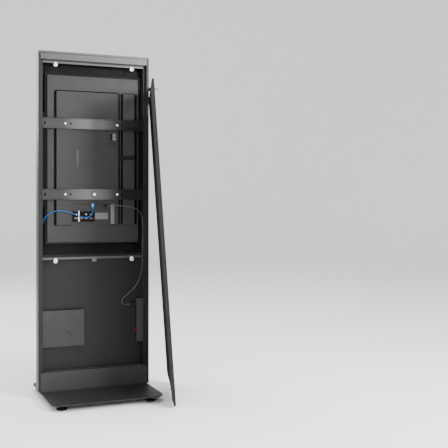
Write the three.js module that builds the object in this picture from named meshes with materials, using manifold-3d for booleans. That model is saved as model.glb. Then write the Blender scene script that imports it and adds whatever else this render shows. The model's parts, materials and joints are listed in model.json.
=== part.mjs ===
// Free-standing touchscreen kiosk: a slim aluminium cabinet on a steel base plate, with a 43 inch portrait
// display on two rails behind a full-height dark glass, a power strip and a mini-PC plate in the lower bay,
// and a lift-off rear cover that leans against the cabinet's side.
// Millimetres, +Z up. The glass faces -Y and the open rear faces +Y. "Left" and "right" are as seen from
// the front, so left is -X. Heights inside the assembly are measured from the top of the base plate.

import * as THREE from "three";
import { mergeVertices } from "three/addons/utils/BufferGeometryUtils.js";
import Module from "manifold-3d";

const wasm = await Module();
wasm.setup();

// ---------------------------------------------------------------- driving dimensions
const GAP = 0.3; // air between two pieces that touch
const INCH = 25.4;

const CABINET_W = 640;
const CABINET_D = 72;
const CABINET_H = 1900; // above the base plate
const SIDE = CABINET_W / 2;
const REAR = CABINET_D / 2;
const FRONT = -REAR;

const FOOT_H = 32;
const PLATE_T = 6;
const PLATE_W = 620;
const PLATE_FRONT = -250;
const PLATE_REAR = 372;
const PLATE_CORNER_R = 64;
const FOOT_INSET = { x: 65, y: 72 };

const WALL = 3; // wall of the extruded profiles
const LIP_W = 14; // rear lip beside the cover
const PROFILE_W = 28; // lip and cover ledge together
const REBATE_D = 22; // how deep the cover sits in the cabinet
const LEDGE_Y = REAR - REBATE_D; // rear face of the cover's ledge
const OPENING = SIDE - PROFILE_W; // half width of the rear opening
const CHANNEL_X = SIDE - 17; // inner wall of the side profile, between its two ledges
const CAP_H = 12;
const PROFILE_TOP = CABINET_H - CAP_H - GAP;

const GLASS_T = 4;
const GLASS_EDGE = 6; // frame seen beside the glass
const GLASS_BACK = FRONT + GLASS_T;
const GLASS_LEDGE_Y = FRONT + 6;

const BEAM_H = 107;
const HEADER_BOTTOM = 1850;
const HEADER_LIP_H = 14;
const MID_BAR_Z = 738;
const MID_BAR_H = 13;
const MID_BAR_REAR = 13;

const SCREEN_DIAGONAL = 42.5 * INCH; // a 43 inch class panel
const SCREEN_H = (SCREEN_DIAGONAL * 16) / Math.hypot(16, 9);
const SCREEN_W = (SCREEN_DIAGONAL * 9) / Math.hypot(16, 9);
const SCREEN_Z = 1300; // centre of the screen above the base plate
const BEZEL_W = 13.5;
const DISPLAY_FRONT = FRONT + 5.5;
const DISPLAY_BACK = 0;
const BACK_COVER_W = 530;
const HOUSING = { left: -145, right: 215, bottom: 926, top: 1683, depth: 10.4 };
const SIDE_COVER = { left: -241, right: -172, depth: 8.2 };
const INPUT_BAY = { left: -96, right: 135, top: 1048 };

const RAIL_H = 60;
const RAIL_Z = { upper: SCREEN_Z + 200, lower: SCREEN_Z - 200 };
const RAIL_T = 2.5;
const RAIL_FLANGE = 9;
const RAIL_FRONT = DISPLAY_BACK + HOUSING.depth + 2 * GAP;
const VESA_SPACING = 300;
const VESA_OFFSET = 15; // the display's fixing pattern sits this far to the right of its centre
const SLOT_PITCH = 25;
const UPRIGHT = { bottom: 1030, top: 1560, inner: 268, slotX: 279 };

const COVER_W = 2 * (SIDE - LIP_W) - 2;
const COVER_H = 1740;
const COVER_T = 1.5;
const COVER_FLANGE = REBATE_D - 0.5;
const COVER_END_FLANGE = 12; // the flanges are lower at the two ends
const COVER_TAPER = 48; // length over which the side flanges run down to the ends
const TAB = { inner: 80, outer: 176, length: 12, thickness: 2, depth: 8 };
const VENT = { rows: 5, columns: 6, length: 42, height: 6, pitchX: 58, pitchZ: 15, fromEdge: 78 };
const LOCK = { x: 175, z: COVER_H - 40 };
const HANDLE = { x: -216, z: COVER_H - 42, span: 96, reach: 28, radius: 6 };
const COVER_YAW = THREE.MathUtils.degToRad(73.2); // turn of the leaning cover about the vertical
const COVER_NEAR_CORNER = new THREE.Vector2(-318, 515); // its rear bottom corner on the floor
const FLOOR_CLEARANCE = 0.6;
const LEAN_CLEARANCE = 1;

// ---------------------------------------------------------------- materials
function material(color, roughness, metalness) {
  return new THREE.MeshStandardMaterial({ color, roughness, metalness });
}

const anodised = () => material(0x4a4b4c, 0.45, 0.6);
const lightAnodised = () => material(0x8b8d8e, 0.4, 0.7);
const powderSteel = () => material(0x35373a, 0.6, 0.4);
const zincSteel = () => material(0xb9bcbe, 0.35, 0.9);
const blackSteel = () => material(0x1d1e1f, 0.5, 0.5);
const displayGrey = () => material(0x5a5a57, 0.6, 0.1);
const blackPlastic = () => material(0x161616, 0.55, 0);
const whitePlastic = () => material(0xeeeeec, 0.5, 0);
const rubber = () => material(0x101010, 0.9, 0);
const darkGlass = () => material(0x1b1e1e, 0.08, 0);
const circuitGreen = () => material(0x1f5a36, 0.6, 0);
const colouredPlastic = (color) => material(color, 0.5, 0);

// ---------------------------------------------------------------- shapes and solids
function polygon(points) {
  return new THREE.Shape(points.map(([x, y]) => new THREE.Vector2(x, y)));
}

// The same outline on the right (side 1) or mirrored to the left (side -1), always drawn counter-clockwise.
function onSide(side, points) {
  const placed = points.map(([x, y]) => [side * x, y]);
  return side > 0 ? placed : placed.reverse();
}

function rectangle(x0, x1, y0, y1) {
  return polygon([[x0, y0], [x1, y0], [x1, y1], [x0, y1]]);
}

function roundedRectangle(x0, x1, y0, y1, r) {
  const shape = new THREE.Shape();
  shape.moveTo(x0 + r, y0);
  shape.lineTo(x1 - r, y0);
  shape.absarc(x1 - r, y0 + r, r, -Math.PI / 2, 0);
  shape.lineTo(x1, y1 - r);
  shape.absarc(x1 - r, y1 - r, r, 0, Math.PI / 2);
  shape.lineTo(x0 + r, y1);
  shape.absarc(x0 + r, y1 - r, r, Math.PI / 2, Math.PI);
  shape.lineTo(x0, y0 + r);
  shape.absarc(x0 + r, y0 + r, r, Math.PI, 1.5 * Math.PI);
  return shape;
}

function extrudeUp(shape, z0, z1, options = {}) {
  const bevel = options.bevel ?? 0;
  const geometry = new THREE.ExtrudeGeometry(shape, {
    depth: z1 - z0 - 2 * bevel,
    bevelEnabled: bevel > 0,
    bevelSize: bevel,
    bevelThickness: bevel,
    bevelOffset: -bevel,
    bevelSegments: 1,
    curveSegments: options.curveSegments ?? 4,
  });
  return geometry.translate(0, 0, z0 + bevel);
}

// The shape's x and y become X and Z, and it fills y0 to y1.
function extrudeBack(shape, y0, y1, options = {}) {
  const basis = new THREE.Matrix4().makeBasis(
    new THREE.Vector3(1, 0, 0),
    new THREE.Vector3(0, 0, 1),
    new THREE.Vector3(0, -1, 0),
  );
  return extrudeUp(shape, -y1, -y0, options).applyMatrix4(basis);
}

// The shape's x and y become Y and Z, and it fills x0 to x1.
function extrudeAcross(shape, x0, x1) {
  const basis = new THREE.Matrix4().makeBasis(
    new THREE.Vector3(0, 1, 0),
    new THREE.Vector3(0, 0, 1),
    new THREE.Vector3(1, 0, 0),
  );
  return extrudeUp(shape, x0, x1).applyMatrix4(basis);
}

function box(x0, x1, y0, y1, z0, z1) {
  const geometry = new THREE.BoxGeometry(x1 - x0, y1 - y0, z1 - z0);
  return geometry.translate((x0 + x1) / 2, (y0 + y1) / 2, (z0 + z1) / 2);
}

// A round bar along Y, centred on x and z.
function barAlongY(radius, y0, y1, x, z, sides = 16) {
  const geometry = new THREE.CylinderGeometry(radius, radius, y1 - y0, sides);
  return geometry.translate(x, (y0 + y1) / 2, z);
}

// A turned piece whose axis is Y: profile points are [radius, y].
function turnedAlongY(profile, x, z, sides = 16) {
  const points = profile.map(([r, y]) => new THREE.Vector2(r, y));
  return new THREE.LatheGeometry(points, sides).translate(x, 0, z);
}

function toSolid(geometry) {
  const bare = geometry.clone();
  bare.deleteAttribute("normal");
  bare.deleteAttribute("uv");
  const merged = mergeVertices(bare, 1e-4);
  return new wasm.Manifold(
    new wasm.Mesh({
      numProp: 3,
      vertProperties: new Float32Array(merged.attributes.position.array),
      triVerts: new Uint32Array(merged.index.array),
    }),
  );
}

function toGeometry(solid) {
  const mesh = solid.getMesh();
  const geometry = new THREE.BufferGeometry();
  geometry.setAttribute("position", new THREE.BufferAttribute(mesh.vertProperties, mesh.numProp));
  geometry.setIndex(new THREE.BufferAttribute(mesh.triVerts, 1));
  geometry.computeVertexNormals();
  return geometry;
}

function join(...geometries) {
  return toGeometry(geometries.map(toSolid).reduce((sum, next) => sum.add(next)));
}

function cut(geometry, ...tools) {
  return toGeometry(tools.map(toSolid).reduce((rest, tool) => rest.subtract(tool), toSolid(geometry)));
}

// A cord of round section along hand-placed points.
function cord(points, diameter, steps) {
  const curve = new THREE.CatmullRomCurve3(points.map((p) => new THREE.Vector3(...p)));
  const section = new THREE.Shape();
  section.absarc(0, 0, diameter / 2, 0, 2 * Math.PI);
  return new THREE.ExtrudeGeometry(section, { steps, extrudePath: curve, curveSegments: 4 });
}

const kiosk = new THREE.Group();
const assembly = new THREE.Group();
assembly.position.z = FOOT_H + PLATE_T;
kiosk.add(assembly);

function add(name, geometry, finish, parent = assembly) {
  const mesh = new THREE.Mesh(geometry, finish);
  mesh.name = name;
  parent.add(mesh);
  return mesh;
}

// ---------------------------------------------------------------- base
function basePlate() {
  const outline = roundedRectangle(-PLATE_W / 2, PLATE_W / 2, PLATE_FRONT, PLATE_REAR, PLATE_CORNER_R);
  return extrudeUp(outline, -PLATE_T, 0, { bevel: 1.5, curveSegments: 5 });
}

function levellingFoot() {
  const padR = 28;
  const studR = 5;
  const profile = [
    [0, 0], [padR - 2, 0], [padR, 2], [padR, 7], [padR - 6, 10], [11, 12], [11, 20], [studR, 20],
    [studR, FOOT_H - GAP], [0, FOOT_H - GAP],
  ];
  const points = profile.map(([r, z]) => new THREE.Vector2(r, z));
  return new THREE.LatheGeometry(points, 20).rotateX(Math.PI / 2);
}

function baseBracket(side) {
  const outer = CHANNEL_X - GAP;
  const section = polygon(
    onSide(side, [[250, GAP], [outer, GAP], [outer, 92], [outer - 4, 92], [outer - 4, 5], [250, 5]]),
  );
  return extrudeBack(section, -18, 6);
}

// ---------------------------------------------------------------- cabinet
function sideProfile(side) {
  const lip = SIDE - LIP_W;
  const outline = polygon(
    onSide(side, [
      [SIDE, FRONT], [SIDE, REAR - 2], [SIDE - 2, REAR],
      [SIDE - 6, REAR], [SIDE - 6, REAR - 1.2], [SIDE - 8, REAR - 1.2], [SIDE - 8, REAR],
      [lip, REAR], [lip, LEDGE_Y], [OPENING, LEDGE_Y], [OPENING, LEDGE_Y - WALL],
      [CHANNEL_X, LEDGE_Y - WALL], [CHANNEL_X, GLASS_LEDGE_Y + WALL], [OPENING, GLASS_LEDGE_Y + WALL],
      [OPENING, GLASS_LEDGE_Y], [SIDE - GLASS_EDGE, GLASS_LEDGE_Y], [SIDE - GLASS_EDGE, FRONT],
    ]),
  );
  const chamber = (inner, y0, y1) => {
    const ends = [side * inner, side * (SIDE - WALL)];
    return box(Math.min(...ends), Math.max(...ends), y0, y1, -10, CABINET_H + 10);
  };
  return cut(
    extrudeUp(outline, GAP, PROFILE_TOP),
    chamber(CHANNEL_X + WALL, GLASS_LEDGE_Y + 2 * WALL, LEDGE_Y - WALL),
    chamber(lip + WALL, LEDGE_Y, REAR - WALL),
  );
}

function headerProfile() {
  const bottom = HEADER_BOTTOM;
  const groove = 1.5;
  const front = GLASS_LEDGE_Y + WALL;
  const grooveHeights = [0.25, 0.5, 0.75].map((share) => bottom + share * (PROFILE_TOP - bottom));
  const rearFace = grooveHeights.flatMap((z) => [
    [REAR, z - 1], [REAR - groove, z - 1], [REAR - groove, z + 1], [REAR, z + 1],
  ]);
  const outline = polygon([
    [front, PROFILE_TOP], [front, bottom], [LEDGE_Y - 6, bottom], [LEDGE_Y - 6, bottom - HEADER_LIP_H],
    [LEDGE_Y, bottom - HEADER_LIP_H], [LEDGE_Y, bottom], [REAR, bottom], ...rearFace, [REAR, PROFILE_TOP],
  ]);
  outline.holes.push(rectangle(front + WALL, REAR - 2 * WALL, bottom + WALL, PROFILE_TOP - WALL));
  const rail = extrudeAcross(outline, -OPENING + GAP, OPENING - GAP);
  const lip = SIDE - LIP_W - GAP;
  const ends = [[-lip, -OPENING + 1], [OPENING - 1, lip]].map(([left, right]) =>
    box(left, right, LEDGE_Y + GAP, REAR, bottom, PROFILE_TOP),
  );
  return join(rail, ...ends);
}

function topCap() {
  const outline = roundedRectangle(-SIDE, SIDE, FRONT, REAR, 2);
  return extrudeUp(outline, CABINET_H - CAP_H, CABINET_H, { bevel: 1, curveSegments: 2 });
}

function bottomBeam() {
  const half = OPENING - GAP;
  const sheet = 2.5;
  const front = GLASS_LEDGE_Y + WALL + 1;
  const lip = SIDE - LIP_W - GAP;
  const rearWall = box(-lip, lip, REAR - sheet, REAR, GAP, BEAM_H);
  const topWall = box(-half, half, front, REAR, BEAM_H - sheet, BEAM_H);
  const frontWall = box(-half, half, front, front + sheet, GAP, BEAM_H);
  const slots = [-1, 1].map((side) => {
    const centre = (side * (TAB.inner + TAB.outer)) / 2;
    const reach = (TAB.outer - TAB.inner) / 2 + 3;
    const y = REAR - TAB.depth;
    return box(centre - reach, centre + reach, y - 2.5, y + 2.5, BEAM_H - 10, BEAM_H + 10);
  });
  const screwHoles = [-1, 1].map((side) => barAlongY(3, REAR - 10, REAR + 10, side * 245, 50, 10));
  return cut(join(rearWall, topWall, frontWall), ...slots, ...screwHoles);
}

function frontGlass() {
  const half = SIDE - GLASS_EDGE - GAP;
  return extrudeBack(roundedRectangle(-half, half, 1, PROFILE_TOP, 2), FRONT, GLASS_BACK, {
    bevel: 0.8,
    curveSegments: 2,
  });
}

function glassGasket() {
  const outer = roundedRectangle(-SIDE + 8, SIDE - 8, 2, PROFILE_TOP - 2, 2);
  outer.holes.push(rectangle(-OPENING - 4, OPENING + 4, 16, PROFILE_TOP - 16));
  return extrudeBack(outer, GLASS_BACK + GAP, GLASS_LEDGE_Y - GAP, { curveSegments: 1 });
}

function touchFilm() {
  const half = OPENING - 2;
  return extrudeBack(rectangle(-half, half, MID_BAR_Z + 20, HEADER_BOTTOM - 20), GLASS_BACK + GAP, GLASS_BACK + 1);
}

function slottedUpright(side) {
  const back = LEDGE_Y - WALL - GAP;
  const outer = CHANNEL_X - GAP;
  const section = polygon(
    onSide(side, [
      [UPRIGHT.inner, back - WALL], [outer - WALL, back - WALL], [outer - WALL, -12], [outer, -12],
      [outer, back], [UPRIGHT.inner, back],
    ]),
  );
  const slots = [];
  for (let z = UPRIGHT.bottom + 20; z < UPRIGHT.top - 10; z += SLOT_PITCH) {
    const x = side * UPRIGHT.slotX;
    slots.push(box(x - 3, x + 3, back - 10, back + 10, z - 7, z + 7));
  }
  return cut(extrudeUp(section, UPRIGHT.bottom, UPRIGHT.top), ...slots);
}

function midBar() {
  const half = OPENING - GAP;
  const low = MID_BAR_Z - MID_BAR_H / 2;
  const high = MID_BAR_Z + MID_BAR_H / 2;
  const chamfer = 1.5;
  const section = polygon([
    [1, low], [MID_BAR_REAR - chamfer, low], [MID_BAR_REAR, low + chamfer],
    [MID_BAR_REAR, high - chamfer], [MID_BAR_REAR - chamfer, high], [1, high],
  ]);
  return extrudeAcross(section, -half, half);
}

function midBarCatch() {
  const y = MID_BAR_REAR + GAP;
  const body = extrudeBack(roundedRectangle(-13, 13, MID_BAR_Z - 21, MID_BAR_Z - 1, 2), y, y + 6, {
    bevel: 0.8,
    curveSegments: 2,
  });
  return cut(body, box(-8, 8, y + 3, y + 9, MID_BAR_Z - 15, MID_BAR_Z - 8));
}

// A round magnet that holds the cover, with a tab up to the metal behind it.
function coverMagnet(x, y, z) {
  const radius = 11;
  const puck = turnedAlongY(
    [[0, y], [radius, y], [radius, y + 7], [radius - 1.5, y + 8], [4, y + 8], [3, y + 6.5], [0, y + 6.5]],
    x,
    z,
    20,
  );
  return join(puck, box(x - 7, x + 7, y, y + 2, z, z + 15));
}

// ---------------------------------------------------------------- display on its rails
function displayBezel() {
  const halfW = SCREEN_W / 2 + BEZEL_W;
  const halfH = SCREEN_H / 2 + BEZEL_W;
  const shell = extrudeBack(
    roundedRectangle(-halfW, halfW, SCREEN_Z - halfH, SCREEN_Z + halfH, 4),
    DISPLAY_FRONT,
    DISPLAY_BACK - 8,
    { bevel: 1, curveSegments: 3 },
  );
  const pocketW = halfW - 7.5;
  const pocketH = halfH - 7.5;
  const pocket = box(-pocketW, pocketW, DISPLAY_FRONT + 1, 5, SCREEN_Z - pocketH, SCREEN_Z + pocketH);
  const windowW = SCREEN_W / 2 + 1;
  const windowH = SCREEN_H / 2 + 1;
  const window = box(-windowW, windowW, FRONT, 0, SCREEN_Z - windowH, SCREEN_Z + windowH);
  return cut(shell, pocket, window);
}

function innerPanel(y0, y1, shrink) {
  const halfW = SCREEN_W / 2 + BEZEL_W - 7.5 - shrink;
  const halfH = SCREEN_H / 2 + BEZEL_W - 7.5 - shrink;
  return box(-halfW, halfW, y0, y1, SCREEN_Z - halfH, SCREEN_Z + halfH);
}

function backlightChassis() {
  const tray = innerPanel(DISPLAY_BACK - 19.7, DISPLAY_BACK - 17.3, 1.5);
  const ribs = [-150, 0, 150].map((x) => {
    return box(x - 20, x + 20, DISPLAY_BACK - 18, DISPLAY_BACK - 12, SCREEN_Z - 380, SCREEN_Z + 380);
  });
  return join(tray, ...ribs);
}

// A shallow tray, open towards the glass, of a given outline and wall.
function tray(outline, y0, y1, wall, cornerR, bevel) {
  const [x0, x1, z0, z1] = outline;
  const shell = extrudeBack(roundedRectangle(x0, x1, z0, z1, cornerR), y0, y1, { bevel, curveSegments: 3 });
  return cut(shell, box(x0 + wall, x1 - wall, y0 - 5, y1 - wall, z0 + wall, z1 - wall));
}

function displayBackCover() {
  const halfW = BACK_COVER_W / 2;
  const halfH = SCREEN_H / 2 + 1;
  const outline = [-halfW, halfW, SCREEN_Z - halfH, SCREEN_Z + halfH];
  return tray(outline, DISPLAY_BACK - 11.5, DISPLAY_BACK, 2, 4, 1.8);
}

function electronicsCover() {
  const { left, right, bottom, top, depth } = HOUSING;
  const front = DISPLAY_BACK + GAP;
  const back = front + depth;
  const shell = tray([left, right, bottom, top], front, back, 2.5, 5, 2);
  const bay = box(INPUT_BAY.left, INPUT_BAY.right, front - 5, back + 5, bottom - 5, INPUT_BAY.top);
  const grip = box(85, 104, back - 1.2, back + 5, 1252, 1354);
  const screwHoles = vesaPlaces().map(({ x, z }) => barAlongY(3.6, back - 6, back + 5, x, z, 12));
  return cut(shell, bay, grip, ...screwHoles);
}

function vesaPlaces() {
  const half = VESA_SPACING / 2;
  return [
    { name: "upper_left", x: VESA_OFFSET - half, z: RAIL_Z.upper },
    { name: "upper_right", x: VESA_OFFSET + half, z: RAIL_Z.upper },
    { name: "lower_left", x: VESA_OFFSET - half, z: RAIL_Z.lower },
    { name: "lower_right", x: VESA_OFFSET + half, z: RAIL_Z.lower },
  ];
}

function displaySideCover() {
  const front = DISPLAY_BACK + GAP;
  const outline = [SIDE_COVER.left, SIDE_COVER.right, HOUSING.bottom, HOUSING.top];
  return tray(outline, front, front + SIDE_COVER.depth, 2, 4, 1.5);
}

function cableStrap() {
  const y = DISPLAY_BACK + 2 * GAP + SIDE_COVER.depth;
  return extrudeBack(roundedRectangle(SIDE_COVER.left + 4, -150, 1300, 1325, 3), y, y + 2.4, { bevel: 0.6, curveSegments: 2 });
}

function inputPanel() {
  const y = DISPLAY_BACK + GAP;
  const plate = box(INPUT_BAY.left + GAP, INPUT_BAY.right - GAP, y, y + 2, HOUSING.bottom + 1, INPUT_BAY.top - GAP);
  const raised = box(-85, -6, y, y + 4, 956, 996);
  return join(plate, raised);
}

function inputSockets() {
  const y = DISPLAY_BACK + GAP + 2 + GAP;
  const block = extrudeBack(roundedRectangle(-3, 123, 945, 1003, 2), y, y + 6, { bevel: 0.8, curveSegments: 2 });
  const hollows = [];
  for (let column = 0; column < 4; column += 1) {
    const x = 6 + 29 * column;
    hollows.push(box(x, x + 21, y + 2.8, y + 10, 951, 966));
    hollows.push(box(x + 3, x + 18, y + 2.8, y + 10, 976, 996));
  }
  return cut(block, ...hollows);
}

function serviceBlock() {
  const y = DISPLAY_BACK + 2 * GAP + HOUSING.depth;
  const block = extrudeBack(roundedRectangle(-138, -79, 1399, 1462, 3), y, y + 5, { bevel: 1, curveSegments: 2 });
  return cut(block, box(-128, -89, y + 2, y + 9, 1410, 1451));
}

function circuitBoard(x0, x1, z0, z1, parts) {
  const y = DISPLAY_BACK + GAP + 1;
  const board = box(x0, x1, y, y + 1.6, z0, z1);
  const blocks = parts.map(([x, z, w, h, t]) => box(x - w / 2, x + w / 2, y + 1, y + 1.6 + t, z - h / 2, z + h / 2));
  return join(board, ...blocks);
}

function mainBoard() {
  const parts = [[60, 1190, 46, 46, 4.5], [10, 1200, 22, 30, 3], [110, 1160, 30, 18, 3], [-50, 1180, 24, 40, 4]];
  return circuitBoard(-100, 150, 1140, 1250, parts);
}

function powerBoard() {
  const parts = [[70, 1560, 60, 44, 4.8], [-30, 1540, 36, 50, 4.8], [150, 1600, 30, 30, 4], [0, 1610, 80, 20, 3]];
  return circuitBoard(-100, 190, 1520, 1640, parts);
}

function rail(z, centreHole) {
  const low = z - RAIL_H / 2;
  const high = z + RAIL_H / 2;
  const front = RAIL_FRONT;
  const back = front + RAIL_T;
  const lip = front + RAIL_FLANGE;
  const section = polygon([
    [front, low], [lip, low], [lip, low + RAIL_T], [back, low + RAIL_T], [back, high - RAIL_T],
    [lip, high - RAIL_T], [lip, high], [front, high],
  ]);
  const bar = extrudeAcross(section, -OPENING + 0.5, OPENING - 0.5);
  const half = VESA_SPACING / 2;
  const holes = [-half - VESA_OFFSET, -half + VESA_OFFSET, half - VESA_OFFSET, half + VESA_OFFSET].map((x) => {
    return barAlongY(4, front - 5, back + 5, x, z, 12);
  });
  const endSlots = [-1, 1].map((side) => {
    const x = side * UPRIGHT.slotX;
    return box(x - 4, x + 4, front - 5, back + 5, z - 9, z + 9);
  });
  const centre = centreHole ? [barAlongY(4, front - 5, back + 5, 0, z, 12)] : [];
  return cut(bar, ...holes, ...endSlots, ...centre);
}

function vesaScrew(x, z) {
  const seat = RAIL_FRONT + RAIL_T + GAP;
  const headR = 7;
  const shank = 3;
  const profile = [
    [0, DISPLAY_BACK + 5], [shank, DISPLAY_BACK + 5], [shank, seat], [headR, seat], [headR, seat + 2.5],
    [headR - 2, seat + 4.5], [2.6, seat + 4.5], [2.6, seat + 2.5], [0, seat + 2.5],
  ];
  return turnedAlongY(profile, x, z, 14);
}

function railKnob() {
  const seat = RAIL_FRONT + RAIL_T + GAP;
  const outline = new THREE.Shape();
  const points = 32;
  for (let i = 0; i < points; i += 1) {
    const angle = (2 * Math.PI * i) / points;
    const r = 9 + 0.8 * Math.cos(8 * angle);
    const place = [r * Math.cos(angle), RAIL_Z.lower + r * Math.sin(angle)];
    if (i === 0) outline.moveTo(...place);
    else outline.lineTo(...place);
  }
  outline.closePath();
  return join(
    extrudeBack(outline, seat, seat + 8, { bevel: 0.8 }),
    barAlongY(3, RAIL_FRONT - 0.1, seat + 2, 0, RAIL_Z.lower, 12),
  );
}

// ---------------------------------------------------------------- lower bay
const STRIP = { inner: -256, outer: -CHANNEL_X + GAP, front: -22, rear: 2, bottom: 240, top: 493 };
const STRIP_Y = (STRIP.front + STRIP.rear) / 2;
const STRIP_FACE = STRIP.inner + GAP + 2.5;
const SOCKET_HEIGHTS = [459, 412, 365];
const SWITCH_Z = 312;

function powerStrip() {
  const outline = roundedRectangle(STRIP.outer, STRIP.inner, STRIP.front, STRIP.rear, 2);
  return extrudeUp(outline, STRIP.bottom, STRIP.top, { bevel: 1.2, curveSegments: 2 });
}

function stripFace() {
  const plate = box(STRIP.inner + GAP, STRIP_FACE, STRIP_Y - 10.5, STRIP_Y + 10.5, STRIP.bottom + 8, STRIP.top - 8);
  const sockets = SOCKET_HEIGHTS.slice(1).map((z) => {
    return box(STRIP_FACE - 1.5, STRIP_FACE + 5, STRIP_Y - 8, STRIP_Y + 8, z - 13, z + 13);
  });
  const switchPocket = box(STRIP_FACE - 1.8, STRIP_FACE + 5, STRIP_Y - 8, STRIP_Y + 8, SWITCH_Z - 13, SWITCH_Z + 13);
  return cut(plate, ...sockets, switchPocket);
}

// A rocker that is a shallow V across its pivot, resting on its upper half.
const ROCKER_TILT = THREE.MathUtils.degToRad(7);
const ROCKER_PIVOT_X = STRIP_FACE + 1.2;

function switchRocker() {
  const section = polygon([
    [-1.2, -10], [4.6, -11], [2.6, 0], [4.6, 11], [-1.2, 10],
  ]);
  const halfWidth = 6.5;
  const rocker = extrudeBack(section, -halfWidth, halfWidth);
  return rocker.rotateY(ROCKER_TILT).translate(ROCKER_PIVOT_X + 1.4, STRIP_Y, SWITCH_Z);
}

function stripPlug() {
  const z = SOCKET_HEIGHTS[0];
  const start = STRIP_FACE + GAP;
  const body = box(start, start + 17, STRIP_Y - 9, STRIP_Y + 9, z - 11, z + 11);
  const neck = new THREE.CylinderGeometry(2.6, 5.5, 14, 12).rotateZ(-Math.PI / 2);
  return join(body, neck.translate(start + 17 + 6.5, STRIP_Y, z));
}

function mainsGland() {
  const x = MAINS_ROUTE[MAINS_ROUTE.length - 1][0];
  const y = MAINS_ROUTE[MAINS_ROUTE.length - 1][1];
  const base = BEAM_H + GAP;
  const profile = [[0, 0], [11, 0], [11, 5], [8.5, 6], [8, 15], [4.2, 15], [4.2, 5], [0, 5]];
  const points = profile.map(([r, z]) => new THREE.Vector2(r, z));
  return new THREE.LatheGeometry(points, 16).rotateX(Math.PI / 2).translate(x, y, base);
}

function miniPcPlate() {
  const left = 54;
  const right = CHANNEL_X - GAP;
  const bottom = 240;
  const top = 445;
  const sheet = 1.5;
  const centreX = 176;
  const centreZ = 352;
  const face = rectangle(left, right, bottom, top);
  for (const quarter of [45, 135, 225, 315]) {
    face.holes.push(slotOutline(centreX, centreZ, 34, 72, 2.8, THREE.MathUtils.degToRad(quarter)));
  }
  const plate = extrudeBack(face, -sheet, 0, { curveSegments: 3 });
  const freeEdge = box(left, left + sheet, -18, -0.1, bottom, top);
  const wallFlange = box(right - sheet, right, -22, -0.1, bottom, top);
  return join(plate, freeEdge, wallFlange);
}

// The outline of a round-ended slot that runs from one radius to another at an angle about a centre.
function slotOutline(cx, cy, r0, r1, halfWidth, angle) {
  const hole = new THREE.Path();
  const near = [cx + r0 * Math.cos(angle), cy + r0 * Math.sin(angle)];
  const far = [cx + r1 * Math.cos(angle), cy + r1 * Math.sin(angle)];
  hole.absarc(...far, halfWidth, angle - Math.PI / 2, angle + Math.PI / 2);
  hole.absarc(...near, halfWidth, angle + Math.PI / 2, angle + 1.5 * Math.PI);
  hole.closePath();
  return hole;
}

// ---------------------------------------------------------------- cords
const PATCH_DIAMETER = 5.5;
const PATCH_ROUTE = [
  [7, 6.5, 1023.4], [7.3, 8, 1012], [9, 12.5, 1001], [13, 17, 989], [23, 19.5, 977], [40, 20, 970],
  [62, 19.5, 969], [88, 19, 976], [118, 18.5, 989], [155, 18, 1001], [190, 17, 1007], [222, 14.5, 1004],
  [250, 10.5, 994], [271, 5, 977], [284, 0, 955], [291, -4, 930], [296, -6.5, 900], [297, -7, 865],
  [297, -7, 830], [297, -7, 800.3],
];
const LEAD_DIAMETER = 3.6;
const LEAD_ROUTE = [
  [-80.3, 6.5, 1034], [-84, 8, 1034.2], [-89, 11.5, 1034.5], [-95, 14.5, 1035], [-104, 16, 1035.5],
  [-125, 16.2, 1036], [-150, 16, 1035.5], [-178, 15.5, 1033], [-206, 14.8, 1029], [-230, 13, 1024],
  [-247, 10, 1018], [-262, 5, 1009], [-277, -1, 994], [-288.5, -6.5, 975],
  [-295.5, -9.5, 950], [-297, -10, 915], [-297, -10, 860], [-297, -10, 800], [-297, -10, 750],
  [-296, -9, 715], [-292, -6, 680], [-284, -2, 640], [-270, 2, 600], [-248, 5, 566], [-222, 6, 539],
  [-195, 5, 516], [-176, 3, 499], [-167.5, 0, 482], [-172, -4, 467], [-186, -7.5, 460], [-203, -9.5, 459],
  [-221.4, -10, 459],
];
const MAINS_DIAMETER = 7;
const MAINS_ROUTE = [
  [-279, -10, STRIP.bottom - GAP], [-279, -10, 222], [-278, -9.5, 200], [-276, -8.5, 175], [-275, -8, 150],
  [-275, -8, 130], [-275, -8, 113],
];

function patchPlug() {
  const [x, y] = PATCH_ROUTE[0];
  const low = PATCH_ROUTE[0][2] + 2 * GAP;
  const body = box(x - 6, x + 6, y - 3.6, y + 4.4, low + 6, INPUT_BAY.top - GAP);
  const boot = box(x - 4, x + 4, y - 3.6, y + 3.6, low, low + 7);
  return join(body, boot);
}

function displayLeadPlug() {
  const [x, y, z] = LEAD_ROUTE[0];
  return extrudeAcross(roundedRectangle(y - 3.6, y + 3.6, z - 8, z + 8, 2), x + 3 * GAP, x + 26);
}

function networkCoupler() {
  const [x, y, z] = PATCH_ROUTE[PATCH_ROUTE.length - 1];
  const body = box(x - 4.5, CHANNEL_X - GAP, y - 9, y + 9, z - GAP - 34, z - GAP);
  return cut(body, box(x - 10, x - 3, y - 5, y + 5, z - 30, z - 12));
}

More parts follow.
